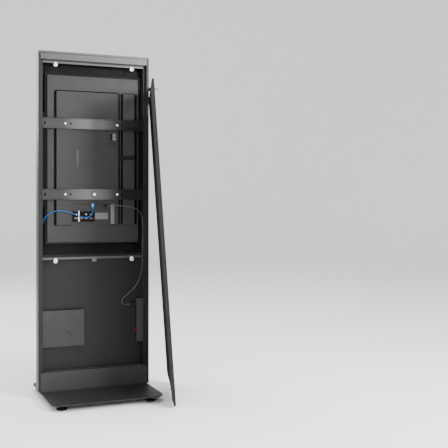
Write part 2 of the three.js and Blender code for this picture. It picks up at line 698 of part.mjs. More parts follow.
// ---------------------------------------------------------------- rear cover
// Drawn with its outer face on y = 0, its inner side towards -Y and its lower edge on z = 0.
function coverPanel() {
  const half = COVER_W / 2;
  const face = rectangle(-half, half, 0, COVER_H);
  for (const [firstZ, step] of [[VENT.fromEdge, VENT.pitchZ], [COVER_H - VENT.fromEdge, -VENT.pitchZ]]) {
    for (let row = 0; row < VENT.rows; row += 1) {
      const columns = VENT.columns - (row % 2);
      const z = firstZ + step * row;
      for (let column = 0; column < columns; column += 1) {
        const x = (column - (columns - 1) / 2) * VENT.pitchX;
        face.holes.push(ventOutline(x, z));
      }
    }
  }
  const lockHole = new THREE.Path();
  lockHole.absarc(LOCK.x, LOCK.z, 11.4, 0, 2 * Math.PI);
  face.holes.push(lockHole);
  const sheet = extrudeBack(face, -COVER_T, 0, { curveSegments: 8 });
  const sideFlange = polygon([
    [-0.1, 0], [-COVER_END_FLANGE, 0], [-COVER_FLANGE, COVER_TAPER], [-COVER_FLANGE, COVER_H - COVER_TAPER],
    [-COVER_END_FLANGE, COVER_H], [-0.1, COVER_H],
  ]);
  const flanges = [
    box(-half, half, -COVER_END_FLANGE, -0.1, 0, COVER_T),
    box(-half, half, -COVER_END_FLANGE, -0.1, COVER_H - COVER_T, COVER_H),
    extrudeAcross(sideFlange, -half, -half + COVER_T),
    extrudeAcross(sideFlange, half - COVER_T, half),
  ];
  const tabs = [-1, 1].map((side) => {
    const x = (side * (TAB.inner + TAB.outer)) / 2;
    const reach = (TAB.outer - TAB.inner) / 2;
    const y = -TAB.depth;
    return box(x - reach, x + reach, y - TAB.thickness / 2, y + TAB.thickness / 2, -TAB.length, COVER_T);
  });
  return join(sheet, ...flanges, ...tabs);
}

function ventOutline(x, z) {
  const half = VENT.length / 2;
  const end = VENT.height / 2;
  const hole = new THREE.Path();
  hole.moveTo(x - half + end, z - end);
  hole.lineTo(x + half - end, z - end);
  hole.lineTo(x + half, z);
  hole.lineTo(x + half - end, z + end);
  hole.lineTo(x - half + end, z + end);
  hole.lineTo(x - half, z);
  hole.closePath();
  return hole;
}

function coverHandle() {
  const { x, z, span, reach, radius } = HANDLE;
  const half = span / 2;
  const y = -COVER_T - GAP;
  const deep = -reach + radius;
  const curve = new THREE.CatmullRomCurve3(
    [
      [x - half, y, z], [x - half, y - 8, z], [x - half + 3, deep + 4, z], [x - half + 12, deep, z],
      [x, deep, z], [x + half - 12, deep, z], [x + half - 3, deep + 4, z], [x + half, y - 8, z], [x + half, y, z],
    ].map((p) => new THREE.Vector3(...p)),
  );
  const section = new THREE.Shape();
  section.absarc(0, 0, radius, 0, 2 * Math.PI);
  return new THREE.ExtrudeGeometry(section, { steps: 24, extrudePath: curve, curveSegments: 5 });
}

const CAM_Y = -32;
const SPINDLE_R = 4;

function lockBarrel() {
  const bore = SPINDLE_R + GAP;
  const profile = [
    [bore, -28], [11, -28], [11, -7], [15, -7], [15, -COVER_T - GAP], [11, -COVER_T - GAP], [11, GAP],
    [15, GAP], [15, 3], [13, 4.3], [bore, 4.3], [bore, -28],
  ];
  return turnedAlongY(profile, LOCK.x, LOCK.z, 18);
}

function lockKnob() {
  const start = 4.3 + GAP;
  const round = barAlongY(10, start, start + 17, LOCK.x, LOCK.z, 20);
  const clearOfFlats = [-1, 1].map((side) => {
    const x = LOCK.x + side * 16;
    return box(x - 9.5, x + 9.5, start + 5, start + 30, LOCK.z - 20, LOCK.z + 20);
  });
  return cut(round, ...clearOfFlats);
}

function lockCam() {
  const lever = extrudeBack(roundedRectangle(LOCK.x - 58, LOCK.x + 9, LOCK.z - 8, LOCK.z + 8, 6), CAM_Y, CAM_Y + 3, {
    curveSegments: 3,
  });
  const spindle = barAlongY(SPINDLE_R, CAM_Y + 1, 4.3, LOCK.x, LOCK.z, 12);
  const nut = barAlongY(6.5, CAM_Y - 4, CAM_Y + 1, LOCK.x, LOCK.z, 6);
  return join(lever, spindle, nut);
}

// The cover stands on its tabs and leans on the cabinet's left rear edge.
function leaningCoverGroup() {
  const across = new THREE.Vector2(Math.cos(COVER_YAW), Math.sin(COVER_YAW));
  const inward = new THREE.Vector2(Math.sin(COVER_YAW), -Math.cos(COVER_YAW));
  const foot = COVER_NEAR_CORNER.clone().addScaledVector(across, -COVER_W / 2);
  const cabinetEdge = new THREE.Vector2(-SIDE, REAR);
  const reach = cabinetEdge.clone().sub(foot).dot(inward) - LEAN_CLEARANCE - COVER_FLANGE;
  const lean = Math.asin(reach / (COVER_H - COVER_TAPER));
  const drop = TAB.length * Math.cos(lean) + (TAB.depth + TAB.thickness / 2) * Math.sin(lean);
  const turn = new THREE.Group();
  turn.position.set(foot.x, foot.y, -FOOT_H - PLATE_T + drop + FLOOR_CLEARANCE);
  turn.rotation.z = COVER_YAW;
  const tilt = new THREE.Group();
  tilt.rotation.x = lean;
  turn.add(tilt);
  assembly.add(turn);
  return tilt;
}

// ---------------------------------------------------------------- assembly
add("base_plate", basePlate(), powderSteel());
for (const [name, x, y] of [
  ["foot_front_left", -1, PLATE_FRONT + FOOT_INSET.y],
  ["foot_front_right", 1, PLATE_FRONT + FOOT_INSET.y],
  ["foot_rear_left", -1, PLATE_REAR - FOOT_INSET.y],
  ["foot_rear_right", 1, PLATE_REAR - FOOT_INSET.y],
]) {
  const foot = add(name, levellingFoot(), rubber());
  foot.position.set(x * (PLATE_W / 2 - FOOT_INSET.x), y, -FOOT_H - PLATE_T);
}
for (const [name, side] of [["left", -1], ["right", 1]]) {
  add(`side_profile_${name}`, sideProfile(side), anodised());
  add(`base_bracket_${name}`, baseBracket(side), zincSteel());
  add(`slotted_upright_${name}`, slottedUpright(side), blackSteel());
  add(`upper_magnet_${name}`, coverMagnet(side * 221, LEDGE_Y + GAP, 1827), whitePlastic());
  add(`lower_magnet_${name}`, coverMagnet(side * 221, MID_BAR_REAR + GAP, MID_BAR_Z - 13), whitePlastic());
}
add("header_profile", headerProfile(), lightAnodised());
add("top_cap", topCap(), lightAnodised());
add("bottom_beam", bottomBeam(), anodised());
add("front_glass", frontGlass(), darkGlass());
add("glass_gasket", glassGasket(), rubber());
add("touch_film", touchFilm(), darkGlass());
add("mid_bar", midBar(), lightAnodised());
add("mid_bar_catch", midBarCatch(), zincSteel());

add("display_bezel", displayBezel(), blackPlastic());
add("lcd_panel", innerPanel(DISPLAY_FRONT + 1 + GAP, DISPLAY_BACK - 20, 1), colouredPlastic(0xb2b8b6));
add("backlight_chassis", backlightChassis(), zincSteel());
add("display_back_cover", displayBackCover(), displayGrey());
add("electronics_cover", electronicsCover(), displayGrey());
add("display_side_cover", displaySideCover(), displayGrey());
add("cable_strap", cableStrap(), blackPlastic());
add("input_panel", inputPanel(), displayGrey());
add("input_sockets", inputSockets(), blackPlastic());
add("service_block", serviceBlock(), displayGrey());
add("main_board", mainBoard(), circuitGreen());
add("power_board", powerBoard(), circuitGreen());
add("upper_rail", rail(RAIL_Z.upper, false), blackSteel());
add("lower_rail", rail(RAIL_Z.lower, true), blackSteel());
for (const { name, x, z } of vesaPlaces()) {
  add(`display_screw_${name}`, vesaScrew(x, z), zincSteel());
}
add("rail_knob", railKnob(), whitePlastic());

add("mini_pc_plate", miniPcPlate(), anodised());
add("power_strip", powerStrip(), anodised());
add("strip_face", stripFace(), blackPlastic());
add("switch_rocker", switchRocker(), colouredPlastic(0xb3122b));
add("strip_plug", stripPlug(), blackPlastic());
add("mains_gland", mainsGland(), blackPlastic());
add("mains_lead", cord(MAINS_ROUTE, MAINS_DIAMETER, 12), rubber());
add("display_lead", cord(LEAD_ROUTE, LEAD_DIAMETER, 78), rubber());
add("display_lead_plug", displayLeadPlug(), blackPlastic());
add("patch_cable", cord(PATCH_ROUTE, PATCH_DIAMETER, 40), colouredPlastic(0x2f7fd0));
add("patch_plug", patchPlug(), colouredPlastic(0x2f7fd0));
add("network_coupler", networkCoupler(), blackPlastic());

const cover = leaningCoverGroup();
add("cover_panel", coverPanel(), powderSteel(), cover);
add("cover_handle", coverHandle(), blackPlastic(), cover);
add("lock_barrel", lockBarrel(), zincSteel(), cover);
add("lock_knob", lockKnob(), zincSteel(), cover);
add("lock_cam", lockCam(), zincSteel(), cover);

// The origin is on the floor, at the middle of the whole footprint with the cover leaning.
kiosk.updateMatrixWorld(true);
const extent = new THREE.Box3().setFromObject(kiosk, true);
assembly.position.x = -(extent.min.x + extent.max.x) / 2;
assembly.position.y = -(extent.min.y + extent.max.y) / 2;
kiosk.updateMatrixWorld(true);

export default kiosk;
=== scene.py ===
"""The looks of a free-standing touchscreen kiosk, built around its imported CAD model.

Drawing dimensions are in millimetres in the cabinet's own frame (x and y from the cabinet's centre line,
z from the top of the base plate), and at() turns them into the row frame in metres. The grip and the lock
are drawn in the leaning cover's own frame, COVER.
"""

import json
import math

import bmesh
import bpy
from mathutils import Matrix, Vector


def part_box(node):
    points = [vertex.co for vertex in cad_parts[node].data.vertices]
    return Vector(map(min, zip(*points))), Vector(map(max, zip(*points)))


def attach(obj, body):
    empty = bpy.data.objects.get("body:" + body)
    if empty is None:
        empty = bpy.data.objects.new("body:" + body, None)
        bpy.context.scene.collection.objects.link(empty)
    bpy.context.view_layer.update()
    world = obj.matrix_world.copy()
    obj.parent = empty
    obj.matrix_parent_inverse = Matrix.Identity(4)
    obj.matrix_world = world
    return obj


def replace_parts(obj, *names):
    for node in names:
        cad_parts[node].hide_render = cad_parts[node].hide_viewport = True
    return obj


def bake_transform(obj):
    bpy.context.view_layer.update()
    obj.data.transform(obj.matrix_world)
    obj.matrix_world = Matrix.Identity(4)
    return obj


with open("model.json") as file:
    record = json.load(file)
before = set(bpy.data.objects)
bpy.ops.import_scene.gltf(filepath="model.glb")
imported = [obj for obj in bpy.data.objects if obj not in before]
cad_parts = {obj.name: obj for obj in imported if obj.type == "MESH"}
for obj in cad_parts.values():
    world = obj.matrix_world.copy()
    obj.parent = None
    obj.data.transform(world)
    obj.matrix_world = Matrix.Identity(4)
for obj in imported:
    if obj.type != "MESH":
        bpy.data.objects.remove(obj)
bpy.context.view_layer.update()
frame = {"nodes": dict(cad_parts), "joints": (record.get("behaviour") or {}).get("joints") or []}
nodes = frame["nodes"]

# ---------------------------------------------------------------- places
MM = 0.001
GAP = 0.3

INNER_WALL_X = 302.6
RAIL_BACK = 13.5
RAIL_SEAT = RAIL_BACK + 0.1
RAIL_HEIGHTS = {"upper": 1500, "lower": 1100}
SCREW_X = {"left": -135, "right": 165}
UNUSED_HOLE = 30
UPRIGHT_SLOT_X = 279
SCREEN_W, SCREEN_H, SCREEN_Z = 529.2, 940.9, 1300
PORT_FACE, PORT_X = 2.6, [6, 35, 64, 93]
SERVICE_KEY_Z = (1420.5, 1440.5)
STRIP_FACE_X, STRIP_Y = -253.2, -10
SOCKET_Z = [459, 412, 365]
LOCK_X, LOCK_Z = 175, 1700
HANDLE_X, HANDLE_Z = -216, 1698
HANDLE_SPAN, HANDLE_REACH, HANDLE_R = 96, 28, 6
COVER_SHEET_T = 1.5

cap_low, cap_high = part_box("top_cap")
plate_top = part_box("base_plate")[1].z
ORIGIN = Vector(((cap_low.x + cap_high.x) / 2, (cap_low.y + cap_high.y) / 2, plate_top))
CABINET = Matrix.Translation(ORIGIN) @ Matrix.Scale(MM, 4)


def at(x, y, z):
    """A point of the cabinet's frame, in millimetres, as a point of the row frame."""
    return ORIGIN + Vector((x, y, z)) * MM


def cover_frame():
    """The leaning cover's own frame: x across it, y out of its outer face, z up along it, in millimetres."""
    turn = next(j for j in frame["joints"] if j["name"] == "cover_lock_turn")
    outward = Vector(turn["axis"]).normalized()
    across = outward.cross(Vector((0, 0, 1))).normalized()
    up = across.cross(outward)
    origin = Vector(turn["pos_m"]) - (across * LOCK_X + up * LOCK_Z) * MM
    axes = Matrix((across, outward, up)).transposed().to_4x4()
    return Matrix.Translation(origin) @ axes @ Matrix.Scale(MM, 4)


COVER = cover_frame()

# ---------------------------------------------------------------- camera
CAMERA_PLACE = (1140, 4599, 1069)
CAMERA_AIM = (-0.3907, -0.9205, 0)
CAMERA_LENS = 65.6
CAMERA_SHIFT = -0.054


def stand(thing, place, aim):
    """Puts a camera or a light at a place, looking along aim."""
    thing.location = place
    thing.rotation_mode = "QUATERNION"
    thing.rotation_quaternion = Vector(aim).to_track_quat("-Z", "Y")
    bpy.context.scene.collection.objects.link(thing)


def make_camera():
    """Behind the kiosk and to its right, level, at chest height, with the frame shifted down a little."""
    data = bpy.data.cameras.new("camera")
    data.lens = CAMERA_LENS
    data.shift_y = CAMERA_SHIFT
    data.clip_end = 100
    camera = bpy.data.objects.new("camera", data)
    stand(camera, at(*CAMERA_PLACE), CAMERA_AIM)
    bpy.context.scene.camera = camera


make_camera()


# ---------------------------------------------------------------- node materials
WIPED_SCALE = 3.2
GRAIN_DEPTH = 0.0004


def new_material(name):
    """A new material, with its node tree, its shader and its object coordinates."""
    material = bpy.data.materials.new(name)
    material.use_nodes = True
    tree = material.node_tree
    coords = tree.nodes.new("ShaderNodeTexCoord").outputs["Object"]
    return material, tree, tree.nodes["Principled BSDF"], coords


def link_noise(tree, coords, scale, detail=2.0, roughness=0.5, stretch=(1, 1, 1)):
    """A noise texture on stretched object coordinates; returns its value socket."""
    mapping = tree.nodes.new("ShaderNodeMapping")
    mapping.inputs["Scale"].default_value = stretch
    noise = tree.nodes.new("ShaderNodeTexNoise")
    noise.inputs["Scale"].default_value = scale
    noise.inputs["Detail"].default_value = detail
    noise.inputs["Roughness"].default_value = roughness
    tree.links.new(coords, mapping.inputs["Vector"])
    tree.links.new(mapping.outputs["Vector"], noise.inputs["Vector"])
    return noise.outputs["Fac"]


def link_range(tree, value, low, high, start=0.3, end=0.7):
    """Maps a value from start..end to low..high; returns the result socket."""
    ranged = tree.nodes.new("ShaderNodeMapRange")
    ranged.inputs["From Min"].default_value = start
    ranged.inputs["From Max"].default_value = end
    ranged.inputs["To Min"].default_value = low
    ranged.inputs["To Max"].default_value = high
    tree.links.new(value, ranged.inputs["Value"])
    return ranged.outputs["Result"]


def link_ramp(tree, value, stops):
    """A colour ramp with (position, colour) stops; returns its colour socket."""
    ramp = tree.nodes.new("ShaderNodeValToRGB")
    elements = ramp.color_ramp.elements
    while len(elements) < len(stops):
        elements.new(0.5)
    for element, (position, color) in zip(elements, stops):
        element.position = position
        element.color = (*color, 1)
    tree.links.new(value, ramp.inputs["Fac"])
    return ramp.outputs["Color"]


def link_place(tree, coords, axis, start, end):
    """How far a point lies from start to end along an axis, from 0 to 1."""
    split = tree.nodes.new("ShaderNodeSeparateXYZ")
    tree.links.new(coords, split.inputs["Vector"])
    return link_range(tree, split.outputs[axis], 0.0, 1.0, start, end)


def link_bump(tree, bsdf, height, strength, distance):
    """Gives a shader its normals from a height socket."""
    bump = tree.nodes.new("ShaderNodeBump")
    bump.inputs["Strength"].default_value = strength
    bump.inputs["Distance"].default_value = distance
    tree.links.new(height, bump.inputs["Height"])
    tree.links.new(bump.outputs["Normal"], bsdf.inputs["Normal"])


def shade(color, factor):
    return tuple(min(1.0, c * factor) for c in color)


def surface(
    name,
    color,
    roughness,
    metallic=0.0,
    mottle=0.08,
    mottle_scale=7.0,
    grain=0.0,
    grain_scale=900.0,
    stretch=(1, 1, 1),
    smear=0.06,
    coat=0.0,
    specular=0.25,
):
    """A solid finish: colour that drifts slowly, uneven gloss from handling, and a fine grain as bump.

    color is a colour, or a function of the tree and its coordinates that returns a colour socket.
    """
    material, tree, bsdf, coords = new_material(name)
    bsdf.inputs["Metallic"].default_value = metallic
    bsdf.inputs["Specular IOR Level"].default_value = specular
    bsdf.inputs["Coat Weight"].default_value = coat
    bsdf.inputs["Coat Roughness"].default_value = 0.08
    if callable(color):
        tint = color(tree, coords)
    else:
        drift = link_noise(tree, coords, mottle_scale, detail=5.0, roughness=0.6)
        tint = link_ramp(tree, drift, [(0.3, shade(color, 1 - mottle)), (0.7, shade(color, 1 + mottle))])
    tree.links.new(tint, bsdf.inputs["Base Color"])
    wiped = link_noise(tree, coords, WIPED_SCALE * mottle_scale, detail=6.0, roughness=0.65)
    gloss = link_range(tree, wiped, max(0.02, roughness - smear), roughness + smear)
    tree.links.new(gloss, bsdf.inputs["Roughness"])
    if grain:
        texture = link_noise(tree, coords, grain_scale, stretch=stretch)
        link_bump(tree, bsdf, texture, grain, GRAIN_DEPTH)
    return material


def copper_runs(tree, coords):
    """Green solder resist with lighter copper runs under it."""
    runs = tree.nodes.new("ShaderNodeTexVoronoi")
    runs.feature = "DISTANCE_TO_EDGE"
    runs.inputs["Scale"].default_value = 160
    tree.links.new(coords, runs.inputs["Vector"])
    stops = [(0.04, (0.03, 0.19, 0.075)), (0.09, (0.012, 0.085, 0.033))]
    return link_ramp(tree, runs.outputs["Distance"], stops)


def rail_painted_highlight(tree, coords):
    """Steel with a painted highlight over the rail's middle and painted shade towards its ends."""
    low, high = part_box("upper_rail")
    along = link_place(tree, coords, "X", low.x, high.x)
    dark, middle, bright = (0.021, 0.021, 0.02), (0.042, 0.042, 0.041), (0.13, 0.13, 0.128)
    stops = [(0.0, dark), (0.22, dark), (0.42, bright), (0.57, bright), (0.82, middle), (1.0, middle)]
    return link_ramp(tree, along, stops)


def glass_material():
    """Grey-tinted safety glass with faint wiping marks."""
    material, tree, bsdf, coords = new_material("tinted_glass")
    bsdf.inputs["Transmission Weight"].default_value = 1.0
    bsdf.inputs["IOR"].default_value = 1.45
    wiped = link_noise(tree, coords, 5, stretch=(1, 1, 0.4))
    tree.links.new(link_range(tree, wiped, 0.012, 0.024), bsdf.inputs["Roughness"])
    cast = link_noise(tree, coords, 2.0)
    tint = link_ramp(tree, cast, [(0.3, (0.70, 0.735, 0.73)), (0.7, (0.73, 0.755, 0.75))])
    tree.links.new(tint, bsdf.inputs["Base Color"])
    return material


def film_material():
    """The clear touch film: almost invisible, with a fine electrode grid."""
    pitch, wire = 0.005, 0.0002
    material, tree, bsdf, coords = new_material("touch_film")
    bsdf.inputs["Base Color"].default_value = (0.03, 0.032, 0.032, 1)
    bsdf.inputs["Specular IOR Level"].default_value = 0.1
    bsdf.inputs["Roughness"].default_value = 0.3
    grid = tree.nodes.new("ShaderNodeTexBrick")
    grid.inputs["Scale"].default_value = 1.0
    grid.inputs["Brick Width"].default_value = pitch
    grid.inputs["Row Height"].default_value = pitch
    grid.inputs["Mortar Size"].default_value = wire
    grid.offset = 0.0
    upright = tree.nodes.new("ShaderNodeMapping")
    upright.inputs["Rotation"].default_value = (math.pi / 2, 0, 0)
    tree.links.new(coords, upright.inputs["Vector"])
    tree.links.new(upright.outputs["Vector"], grid.inputs["Vector"])
    tree.links.new(link_range(tree, grid.outputs["Fac"], 0.04, 0.14, 0, 1), bsdf.inputs["Alpha"])
    return material


def screen_material():
    """A blank, softly lit panel: pale grey-green, a little brighter towards its top."""
    material, tree, bsdf, coords = new_material("screen")
    bsdf.inputs["Roughness"].default_value = 0.35
    bsdf.inputs["Emission Strength"].default_value = 0.7
    low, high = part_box("lcd_panel")
    rise = link_place(tree, coords, "Z", low.z, high.z)
    tint = link_ramp(tree, rise, [(0.0, (0.50, 0.545, 0.53)), (1.0, (0.66, 0.71, 0.70))])
    tree.links.new(tint, bsdf.inputs["Base Color"])
    tree.links.new(tint, bsdf.inputs["Emission Color"])
    link_bump(tree, bsdf, link_noise(tree, coords, 2600, detail=1.0), 0.05, 0.0002)
    return material


ALONG_X = (0.02, 1, 1)
ALONG_Z = (1, 1, 0.02)
BRUSHED_ACROSS = {"grain_scale": 1500, "stretch": ALONG_X}
BRUSHED_UP = {"grain_scale": 1500, "stretch": ALONG_Z}
POWDER = {"grain_scale": 1100, "smear": 0.05}
JACKET = {"mottle_scale": 30, "grain_scale": 2200}

MATERIALS = {
    "profile": surface("profile_anodised", (0.024, 0.0245, 0.025), 0.42, 0.55, grain=0.12, **BRUSHED_UP),
    "header": surface("header_anodised", (0.085, 0.085, 0.086), 0.4, 0.6, grain=0.15, **BRUSHED_ACROSS),
    "bar": surface("bar_anodised", (0.085, 0.086, 0.086), 0.36, 0.7, grain=0.12, **BRUSHED_ACROSS),
    "powder": surface("powder_coat", (0.014, 0.0145, 0.015), 0.5, 0.1, grain=0.28, **POWDER),
    "cover_coat": surface("cover_powder_coat", (0.0095, 0.0097, 0.01), 0.52, 0.1, grain=0.3, **POWDER),
    "beam": surface("beam_powder_coat", (0.032, 0.0323, 0.033), 0.48, 0.15, grain=0.25, **POWDER),
    "black_steel": surface("black_steel", (0.005, 0.005, 0.0052), 0.45, 0.2, grain=0.15, grain_scale=1300),
    "upright": surface(
        "upright_coat", (0.0035, 0.0035, 0.0035), 0.7, specular=0.08, grain=0.25, grain_scale=1200,
    ),
    # the rails' colour carries a painted highlight along the middle and painted shade at the ends
    "rail": surface("rail_coat", rail_painted_highlight, 0.36, 0.6, grain=0.18, grain_scale=1300, stretch=ALONG_X),
    "zinc": surface("bright_zinc", (0.5, 0.51, 0.52), 0.3, 0.9, mottle=0.12, mottle_scale=40, grain=0.08),
    "dull_zinc": surface(
        "dull_zinc", (0.12, 0.121, 0.122), 0.42, 0.6, mottle=0.12, mottle_scale=40, grain=0.1,
    ),
    "nickel": surface(
        "nickel_plate", (0.42, 0.42, 0.415), 0.22, 0.95, mottle=0.06, mottle_scale=50, grain=0.05,
    ),
    "chassis": surface(
        "chassis_sheet", (0.012, 0.012, 0.0122), 0.5, 0.2, mottle=0.15, mottle_scale=55, grain=0.1,
    ),
    "plate": surface("player_plate_coat", (0.034, 0.035, 0.0355), 0.44, 0.35, grain=0.2, grain_scale=1200),
    "strip": surface("strip_anodised", (0.046, 0.0463, 0.0468), 0.44, 0.35, grain=0.15, **BRUSHED_UP),
    "display_shell": surface(
        "display_shell", (0.0235, 0.0235, 0.022), 0.5, grain=0.22, grain_scale=1500, smear=0.08,
    ),
    "display_light": surface("display_inset", (0.043, 0.043, 0.041), 0.5, grain=0.15, grain_scale=1500),
    "label": surface("label_plate", (0.12, 0.12, 0.115), 0.5, grain=0.12, grain_scale=1500),
    "bezel": surface("bezel_plastic", (0.003, 0.003, 0.003), 0.5, specular=0.1, grain=0.1, grain_scale=1600),
    "black": surface("black_plastic", (0.005, 0.005, 0.005), 0.45, grain=0.12, grain_scale=1500),
    # the glass print and the bay foil are shaded and lit copies of one dark print: the print's extra black is
    # painted shade
    "print": surface(
        "glass_print", (0.004, 0.0043, 0.0042), 0.5, mottle=0.05, mottle_scale=2.0, smear=0.02, specular=0.06,
    ),
    "foil": surface(
        "bay_foil", (0.013, 0.0137, 0.0134), 0.4, mottle=0.06, mottle_scale=2.5, smear=0.05, specular=0.2,
    ),
    # a flat black for real seals and for painted shade: the gap strips, the washers, the hole discs and the
    # knob's collar
    "foam_and_shade": surface(
        "black_foam_and_painted_shade", (0.002, 0.002, 0.002), 0.9, mottle=0.3, mottle_scale=80, specular=0.05, grain=0.5,
        grain_scale=1400,
    ),
    "white": surface("white_plastic", (0.88, 0.88, 0.865), 0.35, mottle=0.03, grain=0.05, specular=0.5),
    "red": surface("red_switch", (0.42, 0.004, 0.018), 0.25, mottle=0.1, mottle_scale=30, coat=0.4),
    "orange": surface("orange_plastic", (0.25, 0.055, 0.01), 0.4, mottle_scale=40, grain=0.05),
    "blue": surface(
        "blue_jacket", (0.006, 0.075, 0.26), 0.4, mottle=0.06, mottle_scale=25, grain=0.1, grain_scale=2200,
    ),
    "blue_boot": surface("blue_boot", (0.02, 0.28, 0.9), 0.35, mottle=0.05, mottle_scale=40, grain=0.05),
    "lead": surface("lead_jacket", (0.09, 0.09, 0.09), 0.5, grain=0.1, **JACKET),
    "mains": surface("mains_jacket", (0.006, 0.006, 0.006), 0.55, mottle=0.1, grain=0.12, **JACKET),
    "rubber": surface(
        "foot_rubber", (0.005, 0.005, 0.005), 0.75, mottle=0.15, mottle_scale=60, grain=0.3, grain_scale=1800,
    ),
    "glass": glass_material(),
    "film": film_material(),
    "screen": screen_material(),
    "board": surface("circuit_board", copper_runs, 0.35, mottle_scale=60),
}

# ---------------------------------------------------------------- mesh helpers
SHARP_ANGLE = math.radians(35)
SCREW_SIDES = 36


def to_object(bm, name, body, material, place=CABINET):
    """Closes a bmesh into a piece that rides on a body. Its points are moved into the row frame."""
    bmesh.ops.transform(bm, matrix=place, verts=bm.verts)
    bmesh.ops.recalc_face_normals(bm, faces=bm.faces)
    mesh = bpy.data.meshes.new(name)
    bm.to_mesh(mesh)
    bm.free()
    mesh.shade_smooth()
    mesh.set_sharp_from_angle(angle=SHARP_ANGLE)
    mesh.materials.append(MATERIALS[material])
    piece = bpy.data.objects.new(name, mesh)
    bpy.context.scene.collection.objects.link(piece)
    if body:
        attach(piece, body)
    return piece


def bridge(bm, rings, closed=False):
    """Skins a list of rings. A ring with one vertex is a pole; an open list is capped at its ends."""
    pairs = list(zip(rings, rings[1:]))
    if closed:
        pairs.append((rings[-1], rings[0]))
    for a, b in pairs:
        count = max(len(a), len(b))
        for i in range(count):
            j = (i + 1) % count
            corners = [a[i % len(a)], a[j % len(a)], b[j % len(b)], b[i % len(b)]]
            face = list(dict.fromkeys(corners))
            if len(face) > 2:
                bm.faces.new(face)
    if not closed:
        for ring in (rings[0], rings[-1]):
            if len(ring) > 2:
                bm.faces.new(ring)


def angles(sides):
    return [2 * math.pi * i / sides for i in range(sides)]


def round_solid(bm, centre, axis, rings, closed=False):
    """Skins rings round an axis through the centre, each a list of (radius, distance along, angle)."""
    placed = []
    for ring in rings:
        verts = []
        for radius, along, angle in ring:
            u, v = radius * math.cos(angle), radius * math.sin(angle)
            point = {"x": (along, u, v), "y": (u, along, v), "z": (u, v, along)}[axis]
            verts.append(bm.verts.new(Vector(centre) + Vector(point)))
        placed.append(verts)
    bridge(bm, placed, closed)


def turned(bm, profile, centre, axis="y", sides=48, closed=False, ripple=None):
    """A turned solid; profile is (radius, distance along). ripple(angle) scales the widest radii."""
    widest = max(radius for radius, _ in profile)
    rings = []
    for radius, along in profile:
        rippled = ripple and radius > 0.8 * widest
        rings.append([
            (radius * (ripple(angle) if rippled else 1), along, angle)
            for angle in angles(sides)[:sides if radius > 0 else 1]
        ])
    round_solid(bm, centre, axis, rings, closed)


def raised(profile, base):
    """A profile moved along its axis, so that its zero stands at base."""
    return [(radius, base + along) for radius, along in profile]


def hexagon_radius(angle, flat):
    """Distance from a hexagon's centre to its side at an angle; flat is half its width across flats."""
    sector = math.pi / 3
    return flat / math.cos((angle % sector) - sector / 2)


def socket_head(bm, centre, seat, radius, height, flat, shank=2.6, axis="y"):
    """A button head with a hexagon socket, standing on its seat towards +axis."""
    top = seat + height
    floor = top - 0.55 * height
    outline = [(0, seat - 4), (shank, seat - 4), (shank, seat), (radius, seat)]
    outline += [(radius, seat + 0.45 * height), (0.93 * radius, seat + 0.78 * height), (0.78 * radius, top)]
    turn = angles(SCREW_SIDES)
    rings = [[(r, along, angle) for angle in (turn if r else turn[:1])] for r, along in outline]
    for along in (top, floor):
        rings.append([(hexagon_radius(angle, flat), along, angle) for angle in turn])
    rings.append([(0, floor - 0.2, 0)])
    round_solid(bm, centre, axis, rings)


def hex_nut(bm, centre, low, high, flat, bore):
    """A chamfered hexagon nut with a round bore, standing upright."""
    chamfer = 0.12 * flat

    def hole(angle):
        return bore

    def side(angle):
        return hexagon_radius(angle, flat)

    def eased(angle):
        return min(hexagon_radius(angle, flat), 1.02 * flat)

    levels = [(hole, low), (eased, low), (side, low + chamfer)]
    levels += [(side, high - chamfer), (eased, high), (hole, high)]
    rings = [[(reach(angle), along, angle) for angle in angles(SCREW_SIDES)] for reach, along in levels]
    round_solid(bm, centre, "z", rings, closed=True)


def soft_box(bm, low, high, radius=1.0, segments=3):
    """A box with rounded edges."""
    made = bmesh.ops.create_cube(bm, size=1)["verts"]
    size = Vector(high) - Vector(low)
    middle = (Vector(high) + Vector(low)) / 2
    for vert in made:
        vert.co = Vector(c * s for c, s in zip(vert.co, size)) + middle
    edges = list(dict.fromkeys(edge for vert in made for edge in vert.link_edges))
    bmesh.ops.bevel(bm, geom=edges, offset=radius, segments=segments, affect="EDGES", profile=0.5)


def box_piece(name, body, material, slot, *boxes):
    """A piece of soft boxes, each a lowest corner, a highest corner, a radius and its segments."""
    bm = bmesh.new()
    for box in boxes:
        soft_box(bm, *box)
    return to_object(bm, name, body, material)


def turned_piece(name, body, material, slot, profile, centre, place=CABINET, **shape):
    """A piece of one turned solid; shape is what turned() takes."""
    bm = bmesh.new()
    turned(bm, profile, centre, **shape)
    return to_object(bm, name, body, material, place)


def swept(bm, points, radius, sides=14):
    """A round tube along dense points."""
    points = [Vector(p) for p in points]
    side = Vector((0, 0, 1)).cross(points[1] - points[0])
    if side.length < 1e-6:
        side = Vector((1, 0, 0))
    rings = []
    for i, point in enumerate(points):
        along = (points[min(i + 1, len(points) - 1)] - points[max(i - 1, 0)]).normalized()
        side = (side - along * side.dot(along)).normalized()
        other = along.cross(side)
        rings.append([
            bm.verts.new(point + (side * math.cos(angle) + other * math.sin(angle)) * radius)
            for angle in angles(sides)
        ])
    bridge(bm, rings)


